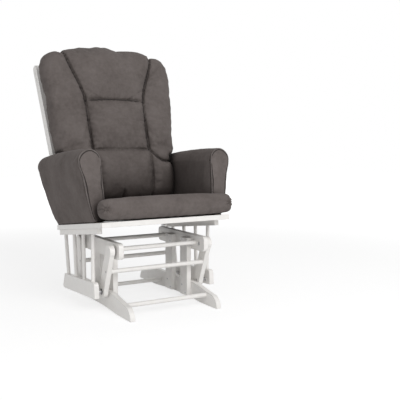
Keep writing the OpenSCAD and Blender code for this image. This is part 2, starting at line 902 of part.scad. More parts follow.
module frame_bolt_set() {
    each_frame_bolt() rotate([0, 90, 0]) {
        translate([0, 0, -frame_head_h - 2]) cylinder(h = frame_head_h, r = frame_head_r, $fn = 32);
        translate([0, 0, -2]) cylinder(h = frame_bolt_len, r = frame_bolt_r, $fn = 32);
    }
}

// ---------------------------------------------------------------- arms

arm_board_x = board_out - arm_board_t - 1;
arm_board_front = arm_front + 14;
arm_lean = back_lean - seat_tilt;
arm_board_rear = seat_depth - stile_d - 22;
arm_screw_inset = 40;
arm_screw_y = [arm_board_front + arm_screw_inset, (arm_board_front + arm_board_rear) / 2,
    arm_board_rear - arm_screw_inset];

module arm_board() {
    difference() {
        seat_axes() slab(arm_board_x, arm_board_t) union() {
            polygon([
                [arm_board_front, board_t],
                [arm_board_rear, board_t],
                [arm_board_rear + arm_board_h * tan(arm_lean), board_t + arm_board_h],
                [arm_board_front + 30, board_t + arm_board_h],
                [arm_board_front, board_t + arm_board_h - 30]]);
        }
        seat_axes() for (y = arm_screw_y)
            translate([arm_board_x + arm_board_t / 2, y, board_t - 1])
                cylinder(h = screw_bite + 6, r = screw_r, $fn = 24);
    }
}

module arm_screw_set() {
    seat_axes() for (y = arm_screw_y)
        translate([arm_board_x + arm_board_t / 2, y, 0.2]) {
            cylinder(h = screw_head_h, r = screw_head_r, $fn = 24);
            cylinder(h = board_t + screw_bite, r = screw_r, $fn = 24);
        }
}

// Front outline of a padded arm in x and z of the seat frame, h high at its rounded top
module arm_outline(h) {
    r = arm_w / 2;
    cx = board_out + arm_flare - r;
    cz = board_t + h - r;
    hull() {
        translate([cx, cz]) circle(r = r, $fn = 48);
        polygon([
            [arm_inner, board_t],
            [board_out + 2, board_t],
            [board_out + arm_flare * 0.5, board_t + h * 0.25],
            [arm_inner, board_t + h * 0.5]]);
    }
}

arm_rear_rise = arm_h + arm_rise;
arm_slice = 1;

module arm_body() {
    hull() {
        translate([0, arm_front + arm_slice, 0]) rotate([90, 0, 0])
            linear_extrude(arm_slice) arm_outline(arm_h);
        translate([0, seat_depth - 3, board_t]) rotate([-arm_lean - 3, 0, 0]) translate([0, 0, -board_t])
            rotate([90, 0, 0]) linear_extrude(arm_slice) arm_outline(arm_rear_rise);
    }
}

module arm_pad() {
    difference() {
        intersection() {
            seat_axes() arm_body();
            seat_axes() translate([0, 0, board_t]) cube([seat_w, 2 * seat_depth, 2 * arm_h]);
        }
        seat_axes() slab(arm_board_x - soft_fit, arm_board_t + 2 * soft_fit) polygon([
            [arm_board_front - soft_fit, board_t - 2],
            [arm_board_rear + soft_fit * 2, board_t - 2],
            [arm_board_rear + arm_board_h * tan(arm_lean) + soft_fit * 2, board_t + arm_board_h + soft_fit],
            [arm_board_front - soft_fit, board_t + arm_board_h + soft_fit]]);
        back_axes() translate([0, stile_d, 0]) rotate([90, 0, 0])
            linear_extrude(2 * stile_d + soft_fit + 2) polygon([
                [0, -stile_d],
                [back_w / 2 + soft_fit, -stile_d],
                [back_w / 2 + soft_fit, 0],
                [back_w / 2 + soft_fit + stile_len * stile_shift, stile_len],
                [0, stile_len]]);
    }
}

// ---------------------------------------------------------------- cushions

// A rectangle w by h from the origin, with its corners rounded
module round_rect(w, h, r) {
    union() {
        translate([r, 0]) square([w - 2 * r, h]);
        translate([0, r]) square([w, h - 2 * r]);
        for (i = [r, w - r], j = [r, h - r])
            translate([i, j]) circle(r = r, $fn = 64);
    }
}

// A block rounded as seen from the side and from above
module soft_block(w, y0, y1, z0, z1, r, plan_r) {
    intersection() {
        slab(-w / 2, w) translate([y0, z0]) round_rect(y1 - y0, z1 - z0, r);
        translate([-w / 2, y0, z0 - 1]) linear_extrude(z1 - z0 + 2) round_rect(w, y1 - y0, plan_r);
    }
}

cushion_half = arm_inner - 2;
cushion_crown = 4;
cushion_body_front = 14;
cushion_rear = seat_depth - stile_d - 8;
cushion_ear_half = board_out + cushion_ear;

module seat_cushion_body() {
    seat_axes() {
        soft_block(2 * cushion_ear_half, -cushion_reach, arm_front - 3,
            board_t, board_t + cushion_t, cushion_r, cushion_r);
        soft_block(2 * cushion_half, cushion_body_front, cushion_rear,
            board_t, board_t + cushion_t - cushion_crown, cushion_r - 6, cushion_r);
    }
}

back_face = -stile_d - soft_fit;
cushion_lift = 86;
zip_len = 300;
zip_w = 3;
pillow_r = 34;
arm_top_on_back = 322;
shoulder_drop = 97;
top_corner_in = 92;
wing_r = 14;
shoulder_r = 44;
top_r = 48;
belly_z = 240;

// Points of an arc round c, for outlines with soft corners
function arc(c, r, from, to, n = 5) =
    [for (i = [0 : n]) c + r * [cos(from + (to - from) * i / n), sin(from + (to - from) * i / n)]];

// The same points on the other side of the middle, in the opposite order
function other_side(p) = [for (i = [len(p) - 1 : -1 : 0]) [-p[i][0], p[i][1]]];

// Right half of the back cushion seen from the front, drawn in by g
function back_cushion_half(g) = concat(
    arc([cushion_half - 2 - pillow_r, cushion_lift + pillow_r], pillow_r - g, -90, 0),
    [[cushion_half - 2 - g, arm_top_on_back + g]],
    arc([back_cushion_waist / 2 - wing_r, arm_top_on_back + wing_r], wing_r - g, -90, -5),
    arc([back_cushion_w / 2 - shoulder_r, back_cushion_top - shoulder_drop], shoulder_r - g, -5, 40),
    arc([back_cushion_w / 2 - top_corner_in, back_cushion_top - shoulder_r], shoulder_r - g, 40, 90));

// Side of the back cushion, with its rear face towards +y, drawn in by g
function back_cushion_side(g) = concat(
    arc([back_face - back_cushion_low_t + pillow_r, cushion_lift + pillow_r], pillow_r - g, 180, 270),
    arc([back_face - wing_r, cushion_lift + wing_r], wing_r - g, 270, 360),
    arc([back_face - pillow_r, back_cushion_top - pillow_r], pillow_r - g, 0, 90),
    arc([back_face - back_cushion_top_t + top_r, back_cushion_top - top_r], top_r - g, 90, 180),
    [[back_face - back_cushion_belly_t + g, belly_z]]);

module back_cushion_form(g) {
    intersection() {
        translate([0, stile_d, 0]) rotate([90, 0, 0]) linear_extrude(2 * stile_d + 2 * back_cushion_top_t)
            polygon(concat(back_cushion_half(g), other_side(back_cushion_half(g))));
        slab(g - back_cushion_w, 2 * back_cushion_w - 2 * g) polygon(back_cushion_side(g));
    }
}

// Front face of the back cushion at a height
function back_front(z) = lookup(z, [
    [cushion_lift + pillow_r, back_face - back_cushion_low_t],
    [belly_z, back_face - back_cushion_belly_t],
    [back_cushion_top - top_r, back_face - back_cushion_top_t]]);

// Points [x, z] of the seams: the side seams, and the seams that close the wings below
side_seam_x = back_cushion_w / 2 - top_corner_in + 10;
panel_seam_in = 173;
panel_seam_x = back_cushion_w / 2 - panel_seam_in;
lumbar_seam_x = panel_seam_x - 8;
side_seam = [
    [side_seam_x, back_cushion_top + 30],
    [panel_seam_x, head_seam_z],
    [lumbar_seam_x, lumbar_seam_z],
    [lumbar_seam_x - 4, belly_z],
    [lumbar_seam_x - 9, cushion_lift + pillow_r],
    [lumbar_seam_x - 12, cushion_lift - 30]];
cross_depth = seam_depth - 6;
wing_seam = [
    [lumbar_seam_x + 3, lumbar_seam_z - 2],
    [lumbar_seam_x + 32, lumbar_seam_z - 34],
    [back_cushion_waist / 2 + 20, lumbar_seam_z - 42]];
seam_out = 12;

// A valley with a three-cornered section swept along stations; dir is the section's direction
module valley(stations, depth, dir, g) {
    slope = seam_w / 2 / seam_depth;
    apex = depth + g * sqrt(1 + pow(slope, 2)) / slope;
    half = (apex + seam_out) * slope;
    n = len(stations);
    points = [for (p = stations) let (at = [p[0], back_front(p[1]), p[1]])
        each [at - half * dir - [0, seam_out, 0], at + half * dir - [0, seam_out, 0], at + [0, apex, 0]]];
    sides = [for (i = [0 : n - 2], j = [0 : 2])
        [3 * i + j, 3 * i + (j + 1) % 3, 3 * i + 3 + (j + 1) % 3, 3 * i + 3 + j]];
    polyhedron(points = points, faces = concat([[0, 2, 1], [3 * n - 3, 3 * n - 2, 3 * n - 1]], sides));
}

module back_valleys(g) {
    for (s = [-1, 1])
        valley([for (p = side_seam) [s * p[0], p[1]]], seam_depth, [1, 0, 0], g);
    valley([[3 - panel_seam_x, head_seam_z], [panel_seam_x - 3, head_seam_z]], cross_depth, [0, 0, 1], g);
    valley([[3 - lumbar_seam_x, lumbar_seam_z], [lumbar_seam_x - 3, lumbar_seam_z]],
        cross_depth, [0, 0, 1], g);
    valley(wing_seam, cross_depth, [0, 0, 1], g);
    valley([for (i = [2 : -1 : 0]) [-wing_seam[i][0], wing_seam[i][1]]], cross_depth, [0, 0, 1], g);
}

module back_cushion_pads(g) {
    difference() {
        back_cushion_form(g);
        back_valleys(g);
    }
}

// A quilted cover round loose fibre, which weighs next to nothing, with its zip left open
module back_cushion_body() {
    back_axes() difference() {
        back_cushion_pads(0);
        back_cushion_pads(cushion_cover);
        translate([-zip_len / 2, back_face - back_cushion_low_t / 2, cushion_lift - cushion_cover])
            cube([zip_len, zip_w, 3 * cushion_cover]);
    }
}

// ---------------------------------------------------------------- nodes

module runner_left() { color(paint) on_left() runner(); }
module runner_right() { color(paint) on_right() runner(); }
module front_post_left() { color(paint) on_left() post(-1); }
module front_post_right() { color(paint) on_right() post(-1); }
module rear_post_left() { color(paint) on_left() post(1); }
module rear_post_right() { color(paint) on_right() post(1); }
module hanger_rail_left() { color(paint) on_left() hanger_rail(); }
module hanger_rail_right() { color(paint) on_right() hanger_rail(); }
module front_top_crossbar() { color(paint) place() crossbar(front_top_bar); }
module rear_top_crossbar() { color(paint) place() crossbar(rear_top_bar); }
module front_floor_crossbar() { color(paint) place() crossbar([bar_front_low_y, bar_front_low_z]); }
module rear_floor_crossbar() { color(paint) place() crossbar([bar_rear_low_y, bar_rear_low_z]); }
module post_screws() { color(steel) both_sides() post_screw_group(); }
module upper_pivot_bolts() { color(steel) both_sides() upper_bolts(); }
module upper_pivot_spacers() { color(steel) both_sides() upper_spacers(); }
module upper_bearing_inner_rings() { color(steel) both_sides() upper_inner_rings(); }

module front_link() {
    link(front_pivot, seat_front_pivot, front_link_angle, front_tie, head_hole_r);
}

module rear_link() {
    link(rear_pivot, seat_rear_pivot, -rear_link_angle, rear_tie, open_hole_r);
}

module front_link_left() { color(paint) on_left() front_link(); }
module front_link_right() { color(paint) on_right() front_link(); }
module front_tie_bar() { color(paint) place() tie_bar(front_tie); }
module front_tie_bolts() { color(steel) both_sides() tie_bolt(front_tie); }
module front_bearing_outer_rings() { color(steel) both_sides() link_rings(front_pivot, seat_front_pivot); }

module front_bearing_balls() {
    color(steel) both_sides() {
        balls(upper_ball_x, front_pivot);
        balls(lower_ball_x, seat_front_pivot);
    }
}

module rear_link_left() { color(paint) on_left() rear_link(); }
module rear_link_right() { color(paint) on_right() rear_link(); }
module rear_tie_bar() { color(paint) place() tie_bar(rear_tie); }
module rear_tie_bolts() { color(steel) both_sides() tie_bolt(rear_tie); }
module rear_bearing_outer_rings() { color(steel) both_sides() link_rings(rear_pivot, seat_rear_pivot); }
module rear_bearing_balls() { color(steel) both_sides() balls(upper_ball_x, rear_pivot); }

module side_board_left() { color(paint) on_left() side_board(); }
module side_board_right() { color(paint) on_right() side_board(); }
module seat_front_rail_node() { color(paint) place() seat_front_rail(); }
module seat_rear_rail_node() { color(paint) place() seat_rear_rail(); }
module upper_side_rail_left() { color(paint) on_left() upper_side_rail(); }
module upper_side_rail_right() { color(paint) on_right() upper_side_rail(); }
module bottom_side_rail_left() { color(paint) on_left() bottom_side_rail(); }
module bottom_side_rail_right() { color(paint) on_right() bottom_side_rail(); }
module side_spindles_left() { color(paint) on_left() side_spindle_set(); }
module side_spindles_right() { color(paint) on_right() side_spindle_set(); }
module seat_webbing() { color(web) place() webbing(); }
module lower_pivot_bolts() { color(steel) both_sides() lower_bolts(); }
module lower_pivot_spacers() { color(steel) both_sides() lower_spacers(); }
module lower_bearing_inner_rings() { color(steel) both_sides() lower_inner_rings(); }
module back_stile_left() { color(paint) on_left() back_stile(); }
module back_stile_right() { color(paint) on_right() back_stile(); }
module crest_rail_node() { color(paint) place() crest_rail(); }
module lower_back_rail_node() { color(paint) place() lower_back_rail(); }
module back_spindle_set_node() { color(paint) place() back_spindle_set(); }
module back_frame_bolts() { color(steel) both_sides() frame_bolt_set(); }
module arm_board_left() { color("burlywood") on_left() arm_board(); }
module arm_board_right() { color("burlywood") on_right() arm_board(); }
module arm_screws() { color(steel) both_sides() arm_screw_set(); }
module arm_pad_left() { color(cloth) on_left() arm_pad(); }
module arm_pad_right() { color(cloth) on_right() arm_pad(); }
module seat_cushion() { color(cloth) place() seat_cushion_body(); }
module back_cushion() { color(cloth) place() back_cushion_body(); }

runner_left();
runner_right();
front_post_left();
front_post_right();
rear_post_left();
rear_post_right();
hanger_rail_left();
hanger_rail_right();
front_top_crossbar();
rear_top_crossbar();
front_floor_crossbar();
rear_floor_crossbar();
post_screws();
upper_pivot_bolts();
upper_pivot_spacers();
upper_bearing_inner_rings();
front_link_left();
front_link_right();
front_tie_bar();
front_tie_bolts();
front_bearing_outer_rings();
front_bearing_balls();
rear_link_left();
rear_link_right();
rear_tie_bar();
rear_tie_bolts();
rear_bearing_outer_rings();
rear_bearing_balls();
side_board_left();
side_board_right();
seat_front_rail_node();  // seat_front_rail
seat_rear_rail_node();  // seat_rear_rail
upper_side_rail_left();
upper_side_rail_right();
bottom_side_rail_left();
bottom_side_rail_right();
side_spindles_left();
side_spindles_right();
seat_webbing();
lower_pivot_bolts();
lower_pivot_spacers();
lower_bearing_inner_rings();
back_stile_left();
back_stile_right();
crest_rail_node();  // crest_rail
lower_back_rail_node();  // lower_back_rail
back_spindle_set_node();  // back_spindle_set
back_frame_bolts();
arm_board_left();
arm_board_right();
arm_screws();
arm_pad_left();
arm_pad_right();
seat_cushion();
back_cushion();
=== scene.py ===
import json
import math

import bpy
import numpy as np
from mathutils import Matrix, Vector, noise
from mathutils.bvhtree import BVHTree


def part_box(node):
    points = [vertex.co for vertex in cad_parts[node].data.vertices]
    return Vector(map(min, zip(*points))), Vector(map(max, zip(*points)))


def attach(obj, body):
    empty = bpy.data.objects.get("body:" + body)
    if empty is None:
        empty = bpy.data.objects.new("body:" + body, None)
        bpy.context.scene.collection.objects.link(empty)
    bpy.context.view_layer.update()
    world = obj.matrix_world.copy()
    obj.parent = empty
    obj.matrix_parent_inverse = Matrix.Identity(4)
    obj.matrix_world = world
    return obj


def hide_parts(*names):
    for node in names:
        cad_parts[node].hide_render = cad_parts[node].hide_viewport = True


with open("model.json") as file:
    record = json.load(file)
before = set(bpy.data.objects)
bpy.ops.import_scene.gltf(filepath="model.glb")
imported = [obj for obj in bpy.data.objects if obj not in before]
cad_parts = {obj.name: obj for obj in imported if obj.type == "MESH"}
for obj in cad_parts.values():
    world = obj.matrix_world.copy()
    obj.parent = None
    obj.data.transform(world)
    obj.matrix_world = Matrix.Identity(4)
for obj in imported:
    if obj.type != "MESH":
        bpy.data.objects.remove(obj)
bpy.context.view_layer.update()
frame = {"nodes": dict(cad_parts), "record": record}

# The frame is in metres. The soft pieces are shaped in millimetres, which MM turns into metres.
MM = 0.001
SEAT_TILT = math.radians(7.35)  # the seat falls towards the rear
BACK_LEAN = math.radians(20.0)  # the back stiles lean to the rear
STILE_SPLAY = math.radians(3.2)  # and outwards
BOARD_T = 20 * MM
STILE_D = 45 * MM
STILE_FOOT = 22 * MM  # the stiles reach this far below the origin of the back

# ------------------------------------------------------------------ axes of seat and back


def axes(origin, lean):
    """Matrix of a frame leaned back about X, with its origin in the row frame."""
    return Matrix.Translation(origin) @ Matrix.Rotation(-lean, 4, "X")


board_low, board_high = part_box("side_board_left")
SEAT = axes(Vector((0, board_low.y, board_high.z - BOARD_T * math.cos(SEAT_TILT))), SEAT_TILT)
stile_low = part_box("back_stile_left")[0]
BACK = axes(
    Vector(
        (
            0,
            stile_low.y + STILE_D * math.cos(BACK_LEAN) + STILE_FOOT * math.sin(BACK_LEAN),
            stile_low.z + STILE_FOOT * math.cos(BACK_LEAN),
        )
    ),
    BACK_LEAN,
)
# inner and outer side of the left side board, in millimetres from the middle
BOARD_IN = board_low.x / MM
BOARD_OUT = board_high.x / MM

# ------------------------------------------------------------------ materials

# sockets of the Mix node: both inputs and the output, for numbers and for colours
NUMBER_A, NUMBER_B, NUMBER_OUT = 2, 3, 0
COLOUR_A, COLOUR_B, COLOUR_OUT = 6, 7, 2
WHITE = (1.0, 1.0, 1.0)


class Nodes:
    """A material of nodes round one Principled shader."""

    def __init__(self, name):
        self.mat = bpy.data.materials.new(name)
        self.mat.use_nodes = True
        self.tree = self.mat.node_tree
        self.tree.nodes.clear()
        self.out = self.add("ShaderNodeOutputMaterial")
        self.bsdf = self.add("ShaderNodeBsdfPrincipled")
        self.link(self.bsdf, "BSDF", self.out, "Surface")

    def add(self, kind, **values):
        """New node with its settings, and the constants of its inputs."""
        node = self.tree.nodes.new(kind)
        for key, value in values.items():
            if hasattr(node, key):
                setattr(node, key, value)
            else:
                node.inputs[key.replace("_", " ")].default_value = value
        return node

    def link(self, a, out, b, into):
        self.tree.links.new(a.outputs[out], b.inputs[into])

    def shade(self, **values):
        """Constants of the shader's inputs."""
        for key, value in values.items():
            self.bsdf.inputs[key.replace("_", " ")].default_value = value

    def coords(self, scale=(1, 1, 1)):
        tex = self.add("ShaderNodeTexCoord")
        mapping = self.add("ShaderNodeMapping", Scale=scale)
        self.link(tex, "Object", mapping, "Vector")
        return mapping

    def noise(self, mapping, scale, detail, rough):
        node = self.add("ShaderNodeTexNoise", Scale=scale, Detail=detail, Roughness=rough)
        self.link(mapping, "Vector", node, "Vector")
        return node

    def wave(self, mapping, direction, scale, distortion):
        node = self.add("ShaderNodeTexWave", wave_type="BANDS", bands_direction=direction)
        node.inputs["Scale"].default_value = scale
        node.inputs["Distortion"].default_value = distortion
        self.link(mapping, "Vector", node, "Vector")
        return node

    def ramp(self, source, out, stops):
        node = self.add("ShaderNodeValToRGB")
        while len(node.color_ramp.elements) < len(stops):
            node.color_ramp.elements.new(0.5)
        for element, (place, colour) in zip(node.color_ramp.elements, stops):
            element.position = place
            element.color = (*colour, 1.0)
        self.link(source, out, node, "Fac")
        return node

    def colour(self, source, dark, pale):
        """Base colour between two tones, as the source says."""
        tone = self.ramp(source, "Fac", [(0.3, dark), (0.7, pale)])
        self.link(tone, "Color", self.bsdf, "Base Color")

    def rough(self, source, smooth, dull):
        """Roughness between two values, as the source says."""
        tone = self.ramp(source, "Fac", [(0.3, (smooth,) * 3), (0.7, (dull,) * 3)])
        self.link(tone, "Color", self.bsdf, "Roughness")

    def painted_shade(self, distance, stops):
        """Painted shade: a tone that is dark where other surfaces lie close, as the shade in creases
        and hollows.
        """
        node = self.add("ShaderNodeAmbientOcclusion", samples=6, Distance=distance)
        return self.ramp(node, "AO", stops)

    def multiply(self, a, a_out, b, b_out, amount=1.0):
        node = self.add("ShaderNodeMix", data_type="RGBA", blend_type="MULTIPLY")
        node.inputs[0].default_value = amount
        self.link(a, a_out, node, COLOUR_A)
        self.link(b, b_out, node, COLOUR_B)
        return node

    def bump(self, source, out, strength, distance, under=None):
        node = self.add("ShaderNodeBump", Strength=strength, Distance=distance)
        self.link(source, out, node, "Height")
        if under is not None:
            self.link(under, "Normal", node, "Normal")
        return node

    def relief(self, source, strength, distance, under=None):
        """Bump that goes straight to the shader."""
        bump = self.bump(source, "Fac", strength, distance, under)
        self.link(bump, "Normal", self.bsdf, "Normal")


def cloth_material():
    n = Nodes("brushed_cloth")
    plain = n.coords()
    nap = n.noise(plain, 9.0, 6.0, 0.62)
    mottle = n.noise(plain, 55.0, 5.0, 0.7)
    mix = n.add("ShaderNodeMix", data_type="FLOAT")
    mix.inputs[0].default_value = 0.45
    n.link(nap, "Fac", mix, NUMBER_A)
    n.link(mottle, "Fac", mix, NUMBER_B)
    colour = n.ramp(
        mix,
        NUMBER_OUT,
        [
            (0.30, (0.106, 0.090, 0.084)),
            (0.50, (0.146, 0.126, 0.119)),
            (0.72, (0.186, 0.163, 0.155)),
        ],
    )
    weave = n.add("ShaderNodeMath", operation="MULTIPLY")
    n.link(n.wave(plain, "X", 260.0, 2.5), "Fac", weave, 0)
    n.link(n.wave(plain, "DIAGONAL", 240.0, 2.5), "Fac", weave, 1)
    fuzz = n.noise(plain, 900.0, 3.0, 0.7)
    fuzz_tone = n.ramp(fuzz, "Fac", [(0.25, (0.72, 0.72, 0.72)), (0.75, WHITE)])
    thread = n.multiply(colour, "Color", fuzz_tone, "Color", 0.22)
    # painted shade: the cloth's colour is darkened where surfaces lie close, in creases and in deep
    # hollows such as the inside of the arms
    painted_crease_shade = n.painted_shade(
        45 * MM, [(0.30, (0.24, 0.22, 0.21)), (0.62, (0.74, 0.73, 0.72)), (0.95, WHITE)]
    )
    painted_hollow_shade = n.painted_shade(300 * MM, [(0.20, (0.40, 0.38, 0.37)), (0.72, WHITE)])
    near = n.multiply(thread, COLOUR_OUT, painted_crease_shade, "Color")
    far = n.multiply(near, COLOUR_OUT, painted_hollow_shade, "Color")
    n.link(far, COLOUR_OUT, n.bsdf, "Base Color")
    low = n.bump(nap, "Fac", 0.10, 4 * MM)
    mid = n.bump(mottle, "Fac", 0.16, 1.5 * MM, low)
    fine = n.bump(weave, 0, 0.22, 0.6 * MM, mid)
    n.relief(fuzz, 0.25, 0.5 * MM, fine)
    n.rough(mottle, 0.86, 0.96)
    n.shade(Sheen_Weight=0.05, Sheen_Roughness=0.45, Sheen_Tint=(0.95, 0.92, 0.90, 1.0))
    n.shade(Specular_IOR_Level=0.1)
    return n.mat


# painted shade: near-black cords, laid in seams and gaps, stand in for the shade in those creases
def painted_seam_shade_material():
    n = Nodes("painted_seam_shadow")
    twist = n.noise(n.coords(), 700.0, 3.0, 0.6)
    n.colour(twist, (0.030, 0.026, 0.025), (0.055, 0.048, 0.046))
    n.relief(twist, 0.4, 0.6 * MM)
    n.shade(Roughness=0.9, Specular_IOR_Level=0.15)
    return n.mat


def piping_material():
    n = Nodes("cloth_piping")
    plain = n.coords()
    n.colour(n.noise(plain, 60.0, 4.0, 0.6), (0.125, 0.108, 0.102), (0.180, 0.158, 0.150))
    n.relief(n.noise(plain, 900.0, 3.0, 0.7), 0.35, 0.5 * MM)
    n.shade(Roughness=0.92, Sheen_Weight=0.1, Specular_IOR_Level=0.2)
    return n.mat


def paint_material():
    n = Nodes("white_paint")
    plain = n.coords()
    grain = n.noise(plain, 38.0, 5.0, 0.55)
    orange_peel = n.noise(plain, 420.0, 2.0, 0.5)
    n.colour(grain, (0.845, 0.825, 0.798), (0.890, 0.872, 0.848))
    n.rough(grain, 0.34, 0.46)
    eased_edges = n.add("ShaderNodeBevel", samples=6, Radius=2.8 * MM)
    n.relief(orange_peel, 0.06, 0.6 * MM, eased_edges)
    n.shade(Coat_Weight=0.15, Coat_Roughness=0.25, Specular_IOR_Level=0.45)
    return n.mat


def steel_material():
    n = Nodes("zinc_steel")
    spangle = n.noise(n.coords(), 300.0, 4.0, 0.6)
    n.colour(spangle, (0.42, 0.42, 0.43), (0.58, 0.58, 0.59))
    n.rough(spangle, 0.28, 0.42)
    n.relief(spangle, 0.1, 0.3 * MM)
    n.shade(Metallic=1.0)
    return n.mat


def webbing_material():
    n = Nodes("woven_webbing")
    ribs = n.wave(n.coords(), "X", 90.0, 0.6)
    tone = n.ramp(ribs, "Fac", [(0.2, (0.030, 0.028, 0.026)), (0.8, (0.075, 0.070, 0.066))])
    n.link(tone, "Color", n.bsdf, "Base Color")
    n.relief(ribs, 0.5, 0.8 * MM)
    n.shade(Roughness=0.85)
    return n.mat


def plywood_material():
    n = Nodes("plywood")
    grain = n.noise(n.coords((1.0, 0.12, 1.0)), 60.0, 6.0, 0.6)
    n.colour(grain, (0.44, 0.30, 0.17), (0.60, 0.45, 0.28))
    n.relief(grain, 0.2, 0.6 * MM)
    n.shade(Roughness=0.7)
    return n.mat


CLOTH = cloth_material()
SEAM_SHADE = painted_seam_shade_material()
PIPING = piping_material()
SLOT_MATERIAL = {
    "painted_wood": paint_material(),
    "steel": steel_material(),
    "webbing": webbing_material(),
    "plywood": plywood_material(),
    "upholstery": CLOTH,
}
slot_of = {s["node"]: s["material_slot"] for s in frame["record"]["subparts"]}
for name, node in frame["nodes"].items():
    material = SLOT_MATERIAL[slot_of[name]]
    if not node.material_slots:
        node.data.materials.append(material)
    for entry in node.material_slots:
        entry.material = material

# ------------------------------------------------------------------ lines and shares


def share(value, full):
    """How much of the full value there is, from 0 to 1."""
    return np.clip(value / full, 0, 1)


def bell(distance, width):
    """1 at no distance, falling off smoothly over the width."""
    return np.exp(-((distance / width) ** 2))


def quarter_round(inside, radius):
    """Height of a rounded edge at a distance inside it: 0 at the edge, 1 from the radius on."""
    return math.sqrt(max(1 - (max(radius - inside, 0) / radius) ** 2, 0.0))


def uneven_wave(along, length, jitter, drift):
    """Waves whose length wanders, as gathers in cloth do."""
    return np.sin(along / length + jitter * np.sin(along / drift))


def line_distance(x, z, line):
    """Distance in a plane from each point to a line of points."""
    best = np.full(x.shape, 1e9)
    for (x0, z0), (x1, z1) in zip(line[:-1], line[1:]):
        dx, dz = x1 - x0, z1 - z0
        t = np.clip(((x - x0) * dx + (z - z0) * dz) / (dx * dx + dz * dz), 0, 1)
        best = np.minimum(best, np.hypot(x - x0 - t * dx, z - z0 - t * dz))
    return best


def spline(points, steps=12):
    """Smooth line through the points (Catmull-Rom)."""
    p = [np.array(q, float) for q in points]
    p = [2 * p[0] - p[1]] + p + [2 * p[-1] - p[-2]]
    out = []
    for a, b, c, d in zip(p, p[1:], p[2:], p[3:]):
        turn = 2 * a - 5 * b + 4 * c - d
        twist = 3 * b - a - 3 * c + d
        for i in range(steps):
            t = i / steps
            out.append(0.5 * (2 * b + (c - a) * t + turn * t * t + twist * t**3))
    out.append(p[-2])
    return out


def run_length(points):
    """Distance along a line of points, at each of them."""
    return np.concatenate([[0], np.cumsum(np.linalg.norm(np.diff(points, axis=0), axis=1))])


def points_at(points, run, at):
    return np.stack([np.interp(at, run, points[:, i]) for i in range(points.shape[1])], 1)


def even_line(points, count):
    """Open line through the points, with evenly spaced points."""
    points = np.array(points, float)
    run = run_length(points)
    return points_at(points, run, np.linspace(0, run[-1], count))


def even_ring(points, count):
    """Closed line through the points, with evenly spaced points."""
    points = np.vstack([points, points[:1]])
    run = run_length(points)
    return points_at(points, run, np.linspace(0, run[-1], count, endpoint=False))


def superellipse(angles, power):
    """Points of a rounded box of half size 1, squarer as the power grows."""
    c, s = np.cos(angles), np.sin(angles)
    return np.sign(c) * np.abs(c) ** (2 / power), np.sign(s) * np.abs(s) ** (2 / power)


def rounded_ring(half, thick, count, power, rear_power=None):
    """Ring of a cushion seen along its length: rear face at 0, front at -thick."""
    angles = np.linspace(0, 2 * math.pi, 720, endpoint=False)
    x, y = superellipse(angles, np.where(np.sin(angles) > 0, rear_power or power, power))
    return even_ring(np.stack([half * x, -thick / 2 + thick / 2 * y], 1), count)


# ------------------------------------------------------------------ making soft pieces

VOXEL = 6 * MM


def mesh_object(name, points, faces):
    mesh = bpy.data.meshes.new(name)
    mesh.from_pydata([tuple(p) for p in points], [], faces)
    mesh.validate()
    mesh.update()
    obj = bpy.data.objects.new(name, mesh)
    bpy.context.scene.collection.objects.link(obj)
    return obj


def loft(name, rings):
    """Closed mesh through rings with the same number of points, with flat end caps."""
    count = len(rings[0])
    points = [p for ring in rings for p in ring]
    faces = []
    for r in range(len(rings) - 1):
        for i in range(count):
            j = (i + 1) % count
            faces.append((r * count + i, r * count + j, (r + 1) * count + j, (r + 1) * count + i))
    faces.append(tuple(range(count - 1, -1, -1)))
    last = (len(rings) - 1) * count
    faces.append(tuple(range(last, last + count)))
    return mesh_object(name, points, faces)


def get_points(obj):
    co = np.zeros(len(obj.data.vertices) * 3)
    obj.data.vertices.foreach_get("co", co)
    return co.reshape(-1, 3)


def set_points(obj, co):
    obj.data.vertices.foreach_set("co", co.reshape(-1).astype(np.float32))
    obj.data.update()


def normals(obj):
    n = np.zeros(len(obj.data.vertices) * 3)
    obj.data.vertex_normals.foreach_get("vector", n)
    return n.reshape(-1, 3)


def only(obj):
    bpy.ops.object.select_all(action="DESELECT")
    obj.select_set(True)
    bpy.context.view_layer.objects.active = obj


def modify(obj, kind, **values):
    """Adds a modifier with these settings and applies it."""
    mod = obj.modifiers.new(kind.lower(), kind)
    for key, value in values.items():
        setattr(mod, key, value)
    apply_modifier(obj, mod)


def apply_modifier(obj, modifier):
    only(obj)
    bpy.ops.object.modifier_apply(modifier=modifier.name)


def remesh(obj, smooth, factor=0.5):
    """Even faces for the cloth simulation, with the loft's hard edges eased."""
    modify(obj, "REMESH", mode="VOXEL", voxel_size=VOXEL)
    modify(obj, "SMOOTH", iterations=smooth, factor=factor)


def divide(obj):
    """One step of subdivision, so that stitching and gathers have points to lie on."""
    modify(obj, "SUBSURF", levels=1, render_levels=1)


